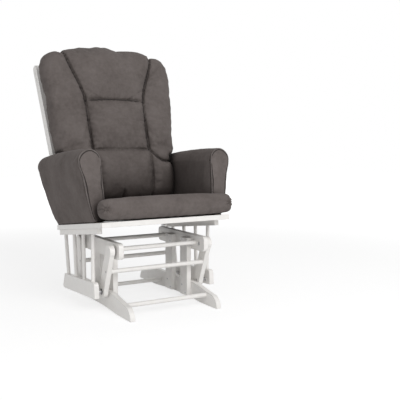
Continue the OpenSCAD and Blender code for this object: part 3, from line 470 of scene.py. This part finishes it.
def inflate(obj, pinned, pressure, cap, frames, bending, shrink=0.0, stiffness=12.0):
    """Swells the mesh like a stuffed cover, held at the pinned vertices, moved no more than cap."""
    before = get_points(obj)
    group = obj.vertex_groups.new(name="pin")
    pinned = np.round(pinned, 2)
    for weight in np.unique(pinned):
        if weight > 0:
            group.add([int(i) for i in np.nonzero(pinned == weight)[0]], float(weight), "REPLACE")
    mod = obj.modifiers.new("cloth", "CLOTH")
    s = mod.settings
    s.quality = 6
    s.mass = 0.3
    s.tension_stiffness = stiffness
    s.compression_stiffness = stiffness
    s.shear_stiffness = stiffness / 3
    s.bending_stiffness = bending
    s.air_damping = 1.0
    s.use_pressure = True
    s.uniform_pressure_force = pressure
    s.shrink_min = shrink
    s.vertex_group_mass = "pin"
    s.pin_stiffness = 1.0
    s.effector_weights.gravity = 0.0
    mod.collision_settings.use_collision = False
    mod.point_cache.frame_start = 1
    mod.point_cache.frame_end = frames
    scene = bpy.context.scene
    for f in range(1, frames + 1):
        scene.frame_set(f)
    apply_modifier(obj, mod)
    scene.frame_set(1)
    obj.vertex_groups.clear()
    move = get_points(obj) - before
    length = np.linalg.norm(move, axis=1)
    scale = np.where(length > cap, cap / np.maximum(length, 1e-9), 1.0)
    set_points(obj, before + move * scale[:, None])


SEED_STEP = (3.17, 1.31, 7.7)


def bumps(co, scale, amount, seed):
    """Soft uneven swelling of a stuffed cover, the same on every run."""
    out = np.zeros(len(co))
    shift = Vector([seed * step for step in SEED_STEP])
    for i, p in enumerate(co):
        out[i] = noise.noise(Vector(p) * scale + shift)
    return out * amount


def surface(obj):
    """The mesh as a tree that rays can be cast on."""
    points = [v.co for v in obj.data.vertices]
    return BVHTree.FromPolygons(points, [tuple(p.vertices) for p in obj.data.polygons])


def to_row(obj, matrix):
    obj.data.transform(matrix)
    obj.data.update()


def dress(obj, body, material):
    """Material, smooth shading, and the body that the piece rides on."""
    obj.data.materials.clear()
    obj.data.materials.append(material)
    obj.data.polygons.foreach_set("use_smooth", [True] * len(obj.data.polygons))
    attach(obj, body)


def finish_soft(obj, body, nodes):
    """Last steps of a padded piece: its look, its body, and what it stands for."""
    dress(obj, body, CLOTH)
    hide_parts(*nodes)


def tube(name, points, radius, matrix, body, material):
    """A round cord along the points, as a mesh: cloth piping, or a dark cord that paints the shade
    in a seam.
    """
    curve = bpy.data.curves.new(name, "CURVE")
    curve.dimensions = "3D"
    curve.bevel_depth = radius
    curve.bevel_resolution = 3
    curve.use_fill_caps = True
    path = curve.splines.new("POLY")
    path.points.add(len(points) - 1)
    for place, p in zip(path.points, points):
        place.co = (*p, 1)
    obj = bpy.data.objects.new(name, curve)
    bpy.context.scene.collection.objects.link(obj)
    only(obj)
    bpy.ops.object.convert(target="MESH")
    obj = bpy.context.view_layer.objects.active
    to_row(obj, matrix)
    dress(obj, body, material)


# ------------------------------------------------------------------ back cushion

BACK_REAR = -(STILE_D + 0.4 * MM)
# height along the back, half width, thickness
BACK_ROWS = [
    (70, 221, 126),
    (92, 234, 138),
    (120, 241, 153),
    (160, 244, 166),
    (200, 243, 172),
    (240, 240, 174),
    (276, 237, 172),
    (290, 262, 168),
    (314, 279, 165),
    (377, 288, 166),
    (436, 296, 169),
    (505, 302, 172),
    (576, 307, 175),
    (654, 312, 181),
    (714, 309, 180),
    (751, 296, 172),
    (766, 280, 165),
    (775, 259, 160),
    (781, 231, 156),
    (785, 218, 153),
    (793, 211, 147),
    (799, 198, 134),
    (805, 160, 112),
]
BACK_FOOT, BACK_TOP = BACK_ROWS[0][0], BACK_ROWS[-1][0]
FOOT_ROUND, TOP_ROUND = 50.0, 46.0
WING_FOOT = 290  # the wings stand out over the arms from here up
UNSTUFFED = 9.0  # the cover is this much thinner before it is swollen
CROWN = 110  # the top edge shapes this much of the height
# seams, as sideways place and height; those that show on both sides are given for one
SIDE_SEAM = [
    (220, 815),
    (208, 748),
    (196, 700),
    (179, 655),
    (159, 605),
    (145, 560),
    (140, 530),
    (136, 430),
    (134, 304),
]
LOW_SEAM = [(134, 304), (131, 230), (128, 160), (125, 84)]
HEAD_SEAM = [(-139, 526), (-70, 531), (0, 533), (70, 531), (139, 525)]
WAIST_SEAM = [(-131, 300), (-65, 301), (0, 301), (65, 300), (131, 299)]
WING_SEAM = [(134, 301), (150, 274), (176, 249), (205, 241), (242, 246)]
# reach of the valley that the stuffing leaves along each kind of seam, and its depth
SIDE_REACH, CROSS_REACH, LOW_REACH = 48, 42, 38
VALLEY = 19
SIDE_VALLEY, SIDE_VALLEY_LOSS = 25, 9  # side seams: depth low down, and how much less at the top
# groove of the stitching itself: depth and half width
SIDE_GROOVE, CROSS_GROOVE, LOW_GROOVE = (5.0, 4.0), (4.0, 3.6), (4.6, 3.6)
PINNED_BY_SEAM = 5
SEWN_TOP = 796.0  # above this the seam lines run over the top edge and their painted shade cords aren't drawn
SEAM_RADIUS = 2.0 * MM


def row_at(z):
    rows = np.array(BACK_ROWS, float)
    return np.interp(z, rows[:, 0], rows[:, 1]), np.interp(z, rows[:, 0], rows[:, 2])


def valley(distance, reach, depth):
    """How far a stuffed pad falls away towards a seam: round at the top, steep at the stitching."""
    return depth * (1 - np.sqrt(1 - (1 - share(distance, reach)) ** 2))


def groove(distance, depth, width):
    return depth * bell(distance, width)


def both(line):
    return [line, [(-a, b) for a, b in line]]


def seam_distances(x, z):
    side = np.min([line_distance(x, z, ln) for ln in both(spline(SIDE_SEAM))], axis=0)
    low = np.min([line_distance(x, z, ln) for ln in both(spline(LOW_SEAM))], axis=0)
    lines = [spline(HEAD_SEAM), spline(WAIST_SEAM)] + both(spline(WING_SEAM))
    cross = np.min([line_distance(x, z, ln) for ln in lines], axis=0)
    return side, low, cross


def top_crown(x):
    """How far the top edge stands above a level line: highest in the middle, lowest on the wings."""
    middle = max(7 * (1 - ((x - 15) / 125) ** 2), -10)
    # the loose fibre has settled: a dip beside the middle, and less of it on the sitter's right
    dip = 8 * bell(x - 76, 30)
    settled = 5 * share(-x - 45, 50) * share(x + 245, 25)
    return middle - dip - settled - 5 * share(abs(x) - 210, 15)


def back_ring(z):
    """Ring of the back cushion at a height, with the rounded foot and top edge."""
    half, thick = row_at(z)
    thick -= UNSTUFFED
    if z < BACK_FOOT + FOOT_ROUND:
        lift = quarter_round(z - BACK_FOOT, FOOT_ROUND)
        thick *= 0.5 + 0.5 * lift
        half -= 14 * (1 - lift)
    if z > BACK_TOP - TOP_ROUND:
        thick *= 0.7 + 0.3 * quarter_round(BACK_TOP - z, TOP_ROUND)
    front_power = 3.6 + 2.2 * share(310 - z, 40)
    rear_power, inset = front_power, 1
    if z > WING_FOOT:
        rear_power, inset = 2.15 + 0.9 * share(560 - z, 200), 3
    rise = share(z - BACK_TOP + CROWN, CROWN)
    ring = rounded_ring(half - inset, thick, 132, front_power, rear_power)
    return [(x * MM, BACK_REAR + y * MM, (z + rise * top_crown(x)) * MM) for x, y in ring]


def back_places(obj, start, full):
    """Points of the back cushion and their sideways place, height, depth, half width and share of
    the front face, which starts at one share of the thickness and is full after another."""
    co = get_points(obj)
    x, z = co[:, 0] / MM, co[:, 2] / MM
    depth = (BACK_REAR - co[:, 1]) / MM
    half, thick = row_at(z)
    return co, x, z, depth, half, share(depth - start * thick, full * thick)


def stuff_back(obj):
    """Valleys between the panels; what lies by a seam or on the stiles then holds still."""
    co, x, z, depth, _, front = back_places(obj, 0.45, 0.25)
    side, low, cross = seam_distances(x, z)
    side_depth = SIDE_VALLEY - SIDE_VALLEY_LOSS * share(z - 640, 80)
    sink = np.maximum(valley(side, SIDE_REACH, side_depth), valley(cross, CROSS_REACH, VALLEY))
    sink = np.maximum(sink, valley(low, LOW_REACH, VALLEY)) * front
    co[:, 1] += sink * MM
    set_points(obj, co)
    near = np.minimum(np.minimum(side, cross), low)
    pin = np.where((near < PINNED_BY_SEAM) & (front > 0.5), 1.0, 0.0)
    pin = np.maximum(pin, np.where(depth < 6, 1.0, 0.0))
    inflate(obj, pin, 4.2, 24 * MM, frames=20, bending=3.0, shrink=-0.02)


def sew_back(obj):
    """Stitching, gathers and the uneven top edge of the back cushion."""
    n = normals(obj)
    co, x, z, depth, half, front = back_places(obj, 0.35, 0.2)
    wide = np.abs(x)
    side, low, cross = seam_distances(x, z)
    crease = groove(side, *SIDE_GROOVE) + groove(cross, *CROSS_GROOVE)
    crease = np.maximum(crease, groove(low, *LOW_GROOVE)) * front
    # small gathers run square to the stitching
    gathers = uneven_wave(z, 3.9, 1.3, 17.0) * bell(side - 9, 11) * 0.9
    gathers = gathers + uneven_wave(x, 4.3, 1.1, 15.0) * bell(cross - 8, 10) * 0.8
    ridge = uneven_wave(x, 9.5, 1.4, 33.0) * bell(806 - z, 30) * (wide < 214) * 1.3
    edge = bell(half - wide, 24) * (z > 310) * (z < 775)
    pucker = uneven_wave(z, 6.2, 1.6, 37.0) * edge * 0.8 * share(depth - 30, 30)
    pleat = -5.0 * bell(x + 18, 4.5) * bell(z - 84, 42) * front
    swell = (bumps(co, 8.0, 3.0, 3) + bumps(co, 22.0, 1.0, 5)) * share(depth, 20)
    move = (ridge + pucker + gathers * front + pleat - crease + swell) * MM
    co += n * move[:, None]
    scallop = 2.2 * np.cos(x / 17.0 + 0.5) * bell(808 - z, 24) * (wide < 220)
    # the seams draw the top edge in, more so on the sitter's right
    notch = np.where(x > 0, 14 * bell(x - 216, 8), 20 * bell(x + 210, 10)) * share(z - 745, 30)
    co[:, 2] += (scallop - notch) * MM
    co[:, 1] = np.minimum(co[:, 1], BACK_REAR)
    set_points(obj, co)


def sewn_line(tree, line):
    """Line at the bottom of a seam's valley, found from the front of the back cushion, where a dark
    cord paints the shade.
    """
    points = []
    for x, z in spline(line, 8):
        hit = tree.ray_cast(Vector((x * MM, -1.0, z * MM)), Vector((0, 1, 0)))[0]
        if hit is not None and z < SEWN_TOP:
            points.append(hit)
    depth = np.array([p.y for p in points])
    depth = np.convolve(np.pad(depth, 2, mode="edge"), np.full(5, 0.2), mode="valid")
    return [Vector((p.x, y, p.z)) for p, y in zip(points, depth)]


def back_cushion():
    heights = [
        BACK_FOOT + np.arange(0, 50, 4.0),
        np.arange(BACK_FOOT + 50, BACK_TOP - 40, 9.0),
        np.arange(BACK_TOP - 40, BACK_TOP + 0.1, 3.0),
    ]
    obj = loft("back_cushion_soft", [back_ring(z) for z in np.concatenate(heights)])
    remesh(obj, 3)
    stuff_back(obj)
    divide(obj)
    sew_back(obj)
    tree = surface(obj)
    to_row(obj, BACK)
    finish_soft(obj, "seat", ["back_cushion"])
    # painted shade: dark cords laid along the bottom of the seam valleys
    lines = {"head": HEAD_SEAM}
    for side, sign in (("right", -1), ("left", 1)):
        lines[f"side_{side}"] = [(sign * a, b) for a, b in SIDE_SEAM]
        lines[f"wing_{side}"] = [(sign * a, b) for a, b in WING_SEAM[:-1]]
    for name, line in lines.items():
        tube(f"back_seam_shade_{name}", sewn_line(tree, line), SEAM_RADIUS, BACK, "seat", SEAM_SHADE)


# ------------------------------------------------------------------ seat cushion

SEAT_TOP = 20.0  # upper face of the side boards
ARM_FRONT = 53.0  # the arms start this far behind the boards' front ends
CUSHION_TOP = 106.0
# the front roll, which stands out before the boards and reaches past them on both sides
FRONT_REACH = 32.0
ROLL_END = BOARD_OUT + 7
ROLL_LOW, ROLL_HIGH = SEAT_TOP + 6, CUSHION_TOP - 1
ROLL_Z, ROLL_HALF_Z = (ROLL_LOW + ROLL_HIGH) / 2, (ROLL_HIGH - ROLL_LOW) / 2
ROLL_Y = (ARM_FRONT - 3 - FRONT_REACH) / 2
ROLL_HALF_Y = (ARM_FRONT - 3 + FRONT_REACH) / 2 - 1
ROLL_POWER = 2.7
ROLL_ROUND = 26.0
# the part between the arms
SEAT_HALF = BOARD_IN - 2
SEAT_THICK = ROLL_HIGH - ROLL_LOW - 2
SEAT_REAR = 462


def roll_ring(x):
    """Ring of the front roll: rounded at the ends, which bend forward a little."""
    end = ROLL_END - abs(x)
    size = (0.40 + 0.60 * quarter_round(end, ROLL_ROUND)) * (1 - 0.03 * bell(end, 45))
    ahead = 8 * bell(end, 40)
    y, z = superellipse(np.linspace(0, 2 * math.pi, 60, endpoint=False), ROLL_POWER)
    y = ROLL_Y - ahead + ROLL_HALF_Y * size * y
    z = ROLL_Z + ROLL_HALF_Z * size * z
    return [(x * MM, a * MM, b * MM) for a, b in zip(y, z)]


def seat_ring(y):
    """Ring of the part between the arms, rounded at the rear."""
    lift = quarter_round(SEAT_REAR - y, ROLL_ROUND)
    thick = SEAT_THICK * (0.5 + 0.5 * lift)
    middle = SEAT_TOP + 1.5 + SEAT_THICK / 2
    ring = rounded_ring(SEAT_HALF - 2 - 8 * (1 - lift), thick, 90, 5.5)
    return [(x * MM, y * MM, (middle - (z + thick / 2)) * MM) for x, z in ring]


def join(objects):
    only(objects[0])
    for o in objects[1:]:
        o.select_set(True)
    bpy.ops.object.join()
    return bpy.context.view_layer.objects.active


def seat_cushion():
    across = [
        -ROLL_END + np.arange(0, 30, 2.5),
        np.arange(-ROLL_END + 30, ROLL_END - 29, 12),
        ROLL_END - np.arange(30, -0.1, -2.5),
    ]
    along = [np.arange(16, 440, 12), 440 + np.arange(0, 21, 3)]
    roll = loft("seat_cushion_soft", [roll_ring(x) for x in np.concatenate(across)])
    body = loft("seat_cushion_body", [seat_ring(y) for y in np.concatenate(along)])
    obj = join([roll, body])
    obj.name = "seat_cushion_soft"
    remesh(obj, 7, 0.6)
    x, y, z = (get_points(obj) / MM).T
    beside_arms = (np.abs(x) > SEAT_HALF - 7) & (y > ARM_FRONT - 6)
    pin = np.where((z < SEAT_TOP + 7) | (y > SEAT_REAR - 10), 1.0, 0.0)
    pin = np.maximum(pin, np.where(beside_arms, 0.8, 0.0))
    inflate(obj, pin, 2.4, 6 * MM, frames=16, bending=4.0)
    divide(obj)
    sew_seat(obj)
    to_row(obj, SEAT)
    finish_soft(obj, "seat", ["seat_cushion"])


def sew_seat(obj):
    """Gathers, unevenness and flat seats of the seat cushion."""
    co = get_points(obj)
    n = normals(obj)
    x, y, z = (co / MM).T
    # gathers that run in to a point near each front end
    for side in (-1, 1):
        dx, dz = x - side * (ROLL_END - 17), z - (ROLL_Z + 3)
        d = np.hypot(dx, dz)
        angle = np.arctan2(dz, dx)
        fold = np.sin(angle * 8 + 0.9 * np.sin(2 * angle) + side) * bell(d, 30) * share(d, 6)
        pinch = -5.0 * bell(d, 7)
        co += n * ((fold * 2.8 + pinch) * (y < ROLL_Y) * MM)[:, None]
    swell = bumps(co, 8.0, 2.4, 11) + bumps(co, 22.0, 0.9, 13)
    top = share(z - SEAT_TOP - 12, 20)
    band = uneven_wave(x, 7.0, 1.5, 31.0) * bell(z - ROLL_LOW - 6, 9) * (y < 20) * 0.8
    co += n * ((swell * top + band) * MM)[:, None]
    co[:, 2] = np.maximum(co[:, 2], (SEAT_TOP + 0.3) * MM)
    between_arms = co[:, 1] > (ARM_FRONT - 2) * MM
    limit = (SEAT_HALF + 1.5) * MM
    co[:, 0] = np.where(between_arms, np.clip(co[:, 0], -limit, limit), co[:, 0])
    set_points(obj, co)


# ------------------------------------------------------------------ arms

ARM_R = 43.0  # radius of the rolled top
ARM_X = BOARD_OUT + 51 - ARM_R
ARM_FOOT = 20.5  # the cover starts this high
ARM_CENTRE = ((BOARD_IN + 300) / 2, 160.0)
# what runs round an arm's front panel: name, distance behind the front, inset, radius, material; the
# welt is cloth piping, the two near-black cords paint the shade in the seams beside it
FRONT_LINES = [
    ("welt", 6.0, 0.0, 3.1, PIPING),
    ("side_seam_shade", 13.0, 0.0, 1.7, SEAM_SHADE),
    ("front_seam_shade", 0.0, 9.5, 1.7, SEAM_SHADE),
]


def arm_outline(t):
    """Front outline of a left arm, from the inner bottom over the top to the outer bottom.
    t is 0 at the front of the arm and 1 at the rear."""
    cz = 300 + 25 * t + 9 * math.sin(math.pi * t) - ARM_R
    inner = [(BOARD_IN + 0.5, ARM_FOOT), (BOARD_IN + 0.5, 90), (BOARD_IN + 1, 160)]
    inner.append((ARM_X - ARM_R + 0.5, cz - 20))
    crown = []
    bulge = 4.5 * (1 - t) ** 2
    for a in range(180, -1, -10):
        c, q = math.cos(math.radians(a)), math.sin(math.radians(a))
        reach = ARM_R + (bulge if c > 0 else 0)
        crown.append((ARM_X + reach * math.copysign(abs(c) ** 1.12, c), cz + ARM_R * q**1.12))
    outer = [(ARM_X + ARM_R - 3 + bulge, cz - 24), (319, 200), (315, 170), (309, 128), (299, 84)]
    outer += [(289, 44), (BOARD_OUT + 3, ARM_FOOT)]
    return inner + crown + outer


def arm_depth(z):
    """Rear end of the arm at a height: it leans with the back and is rounded at both corners."""
    rear = 511 + (z - 20) * math.tan(math.radians(17.3))
    return rear - 12 * share(75 - z, 55) ** 2 - 16 * share(z - 280, 46) ** 2


def arm_ring(u, sign, inset):
    """Ring of an arm at a share of its length, drawn in towards its middle by the inset."""
    centre = np.array(ARM_CENTRE)
    ring = []
    for x, z in even_line(arm_outline(u), 100):
        to = np.array([x, z]) - centre
        length = np.linalg.norm(to)
        q = centre + to * max(0.0, (length - inset) / length)
        q[1] = ARM_FOOT if z < ARM_FOOT + 0.5 else q[1]
        y = (ARM_FRONT + 1) * (1 - u) + arm_depth(z) * u
        ring.append((sign * q[0] * MM, y * MM, q[1] * MM))
    return ring


def arm_places(obj):
    """Points of an arm and their place in millimetres, as if it were a left one."""
    co = get_points(obj)
    return co, np.abs(co[:, 0]) / MM, co[:, 1] / MM, co[:, 2] / MM


def sew_arm(obj, sign):
    """Stitching, unevenness and flat foot of an arm."""
    n = normals(obj)
    co, x, y, z = arm_places(obj)
    swell = bumps(co, 7.0, 2.2, 21 + sign) + bumps(co, 19.0, 0.8, 23 + sign)
    inside = share(y - ARM_FRONT - 6, 20)
    # the cloth is drawn in beside the welt and under the rolled top
    beside_welt = -groove(y - ARM_FRONT - 13, 3.2, 3.0)
    under_crown = -groove(z - (258 + 24 * (y - ARM_FRONT) / 470), 1.2, 14) * (x < BOARD_IN + 20)
    co += n * ((swell * inside + beside_welt + under_crown) * MM)[:, None]
    z = co[:, 2] / MM
    foot = ARM_FOOT - 0.1
    drop = float(z.min()) - foot
    co[:, 2] = np.maximum((z - drop * share(60 - z, 38)) * MM, foot * MM)
    set_points(obj, co)


def front_line(obj, sign, behind, inset):
    """Line on the arm's own surface round its front panel."""
    tree = surface(obj)
    y = (ARM_FRONT + behind) * MM
    centre = Vector((sign * ARM_CENTRE[0] * MM, y, ARM_CENTRE[1] * MM))
    points = []
    for x, z in even_line(arm_outline(0.0), 84):
        to = Vector((sign * x * MM, y, z * MM)) - centre
        if inset:
            start = centre + to.normalized() * (to.length - inset * MM) - Vector((0, 50 * MM, 0))
            hit = tree.ray_cast(start, Vector((0, 1, 0)), 200 * MM)[0]
        else:
            start = centre + to.normalized() * (to.length + 60 * MM)
            hit = tree.ray_cast(start, (centre - start).normalized(), 400 * MM)[0]
        if hit is not None and hit.z > 22 * MM:
            points.append(hit)
    return points


def foot_line(sign):
    """Line where the cover is tacked to the side board, along the arm's outer lower edge, for a dark
    cord that paints the shadow gap there.
    """
    places = np.linspace(ARM_FRONT + 7, arm_depth(22) - 8, 60)
    x = BOARD_OUT - 0.2 + 0.3 * np.sin(places / 11)
    return [Vector((sign * a * MM, y * MM, 22.3 * MM)) for a, y in zip(x, places)]


def clear_stile(obj, sign):
    """Fits the arm round the back stile, along the stile's own side and front planes."""
    seat_to_back = BACK.inverted() @ SEAT
    back_to_seat = seat_to_back.inverted()
    gap = 1.5 * MM
    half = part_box("upper_side_rail_left")[0].x
    out = []
    for p in get_points(obj):
        q = seat_to_back @ Vector(p)
        edge = half + gap + q.z * math.tan(STILE_SPLAY)
        if q.y > -STILE_D - gap and abs(q.x) < edge:
            if abs(abs(q.x) - edge) < abs(q.y + STILE_D + gap):
                q.x = sign * edge
            else:
                q.y = -STILE_D - gap
        out.append(back_to_seat @ q)
    set_points(obj, np.array([tuple(p) for p in out]))


def arm(side):
    sign = 1 if side == "left" else -1
    places = [0.0, 0.006, 0.014, *np.linspace(0.03, 0.96, 36), 0.975, 0.988, 1.0]
    # both ends are rounded: three short insets in front, a longer curve at the rear
    insets = [9.0, 4.5, 2.2] + [1.0 + 14.0 * max(0, (u - 0.955) / 0.045) ** 2 for u in places[3:]]
    rings = [arm_ring(u, sign, inset) for u, inset in zip(places, insets)]
    obj = loft(f"arm_pad_{side}_soft", rings)
    if sign < 0:
        obj.data.flip_normals()
    remesh(obj, 2)
    _, _, y, z = arm_places(obj)
    pin = np.where((z < 27) | (y < ARM_FRONT + 10), 1.0, 0.0)
    inflate(obj, pin, 2.0, 4 * MM, frames=12, bending=5.0, stiffness=15.0)
    divide(obj)
    sew_arm(obj, sign)
    clear_stile(obj, sign)
    lines = [front_line(obj, sign, behind, inset) for _, behind, inset, _, _ in FRONT_LINES]
    to_row(obj, SEAT)
    finish_soft(obj, "seat", [f"arm_pad_{side}"])
    for line, (name, _, _, radius, material) in zip(lines, FRONT_LINES):
        tube(f"arm_{name}_{side}", line, radius * MM, SEAT, "seat", material)
    # painted shadow: a dark cord along the arm's foot, for the shadow gap above the side board
    tube(f"arm_foot_shadow_{side}", foot_line(sign), SEAM_RADIUS, SEAT, "seat", SEAM_SHADE)


back_cushion()
seat_cushion()
for side in ("left", "right"):
    arm(side)

# ------------------------------------------------------------------ stage, light, camera

# the floor shows whiter with distance from the chair: distances, and share of plain white
FADE = {"From_Min": 1.3, "From_Max": 4.5, "To_Min": 0.58, "To_Max": 1.0}
FLOOR_GLOW = 1.21
FLOOR_HALF = 9
FLOOR_GAP = 0.5 * MM
STUDIO_DIM = 0.45


def stage_material():
    """A pale floor that takes shadows, and runs out into plain white for the camera."""
    n = Nodes("pale_floor")
    n.shade(Base_Color=(0.92, 0.92, 0.92, 1), Roughness=0.9)
    glow = n.add("ShaderNodeEmission", Color=(1, 1, 1, 1), Strength=FLOOR_GLOW)
    path = n.add("ShaderNodeLightPath")
    seen = n.add("ShaderNodeMath", operation="MAXIMUM")
    n.link(path, "Is Camera Ray", seen, 0)
    n.link(path, "Is Glossy Ray", seen, 1)
    place = n.add("ShaderNodeTexCoord")
    away = n.add("ShaderNodeVectorMath", operation="LENGTH")
    n.link(place, "Object", away, 0)
    fade = n.add("ShaderNodeMapRange", interpolation_type="SMOOTHSTEP", **FADE)
    n.link(away, "Value", fade, "Value")
    part = n.add("ShaderNodeMath", operation="MULTIPLY")
    n.link(seen, 0, part, 0)
    n.link(fade, 0, part, 1)
    mix = n.add("ShaderNodeMixShader")
    n.link(part, 0, mix, 0)
    n.link(n.bsdf, 0, mix, 1)
    n.link(glow, 0, mix, 2)
    n.link(mix, 0, n.out, "Surface")
    return n.mat


def studio_world():
    """Even light from all round, seen as white by the camera and in reflections."""
    world = bpy.data.worlds.new("studio")
    world.use_nodes = True
    tree = world.node_tree
    tree.nodes.clear()
    out = tree.nodes.new("ShaderNodeOutputWorld")
    path = tree.nodes.new("ShaderNodeLightPath")
    seen = tree.nodes.new("ShaderNodeMath")
    seen.operation = "MAXIMUM"
    tree.links.new(path.outputs["Is Camera Ray"], seen.inputs[0])
    tree.links.new(path.outputs["Is Glossy Ray"], seen.inputs[1])
    pick = tree.nodes.new("ShaderNodeMixShader")
    tree.links.new(seen.outputs[0], pick.inputs[0])
    for socket, strength in ((1, STUDIO_DIM), (2, 1.0)):
        background = tree.nodes.new("ShaderNodeBackground")
        background.inputs["Color"].default_value = (1, 1, 1, 1)
        background.inputs["Strength"].default_value = strength
        tree.links.new(background.outputs[0], pick.inputs[socket])
    tree.links.new(pick.outputs[0], out.inputs["Surface"])
    return world


def area_light(name, place, target, size, power):
    light = bpy.data.lights.new(name, "AREA")
    light.shape = "SQUARE"
    light.size = size
    light.energy = power
    obj = bpy.data.objects.new(name, light)
    obj.location = place
    obj.rotation_euler = (Vector(target) - Vector(place)).to_track_quat("-Z", "Y").to_euler()
    scene.collection.objects.link(obj)


corners = [(-1, -1), (1, -1), (1, 1), (-1, 1)]
floor = mesh_object(
    "floor", [(a * FLOOR_HALF, b * FLOOR_HALF, -FLOOR_GAP) for a, b in corners], [(0, 1, 2, 3)]
)
floor.data.materials.append(stage_material())

scene = bpy.context.scene
scene.world = studio_world()
area_light("key", (0.3, -3.4, 2.2), (0, 0, 0.5), 2.2, 69)
area_light("fill", (-3.5, -1.3, 1.05), (0, 0, 0.5), 2.0, 10.0)
area_light("top", (0.3, 0.6, 3.6), (0, 0, 0.6), 2.4, 7)

CAMERA_PLACE = (-1.1676, -2.5556, 0.6631)
CAMERA_FALL = 5.068  # degrees below level
CAMERA_TURN = -30.566  # degrees from looking along +Y
camera = bpy.data.cameras.new("camera")
camera.sensor_width = 36
camera.lens = 58.527
camera.shift_x = 0.0025
camera.shift_y = -0.0035
camera_obj = bpy.data.objects.new("camera", camera)
camera_obj.location = CAMERA_PLACE
camera_obj.rotation_euler = (math.radians(90 - CAMERA_FALL), 0, math.radians(CAMERA_TURN))
scene.collection.objects.link(camera_obj)
scene.camera = camera_obj
scene.view_settings.view_transform = "Standard"
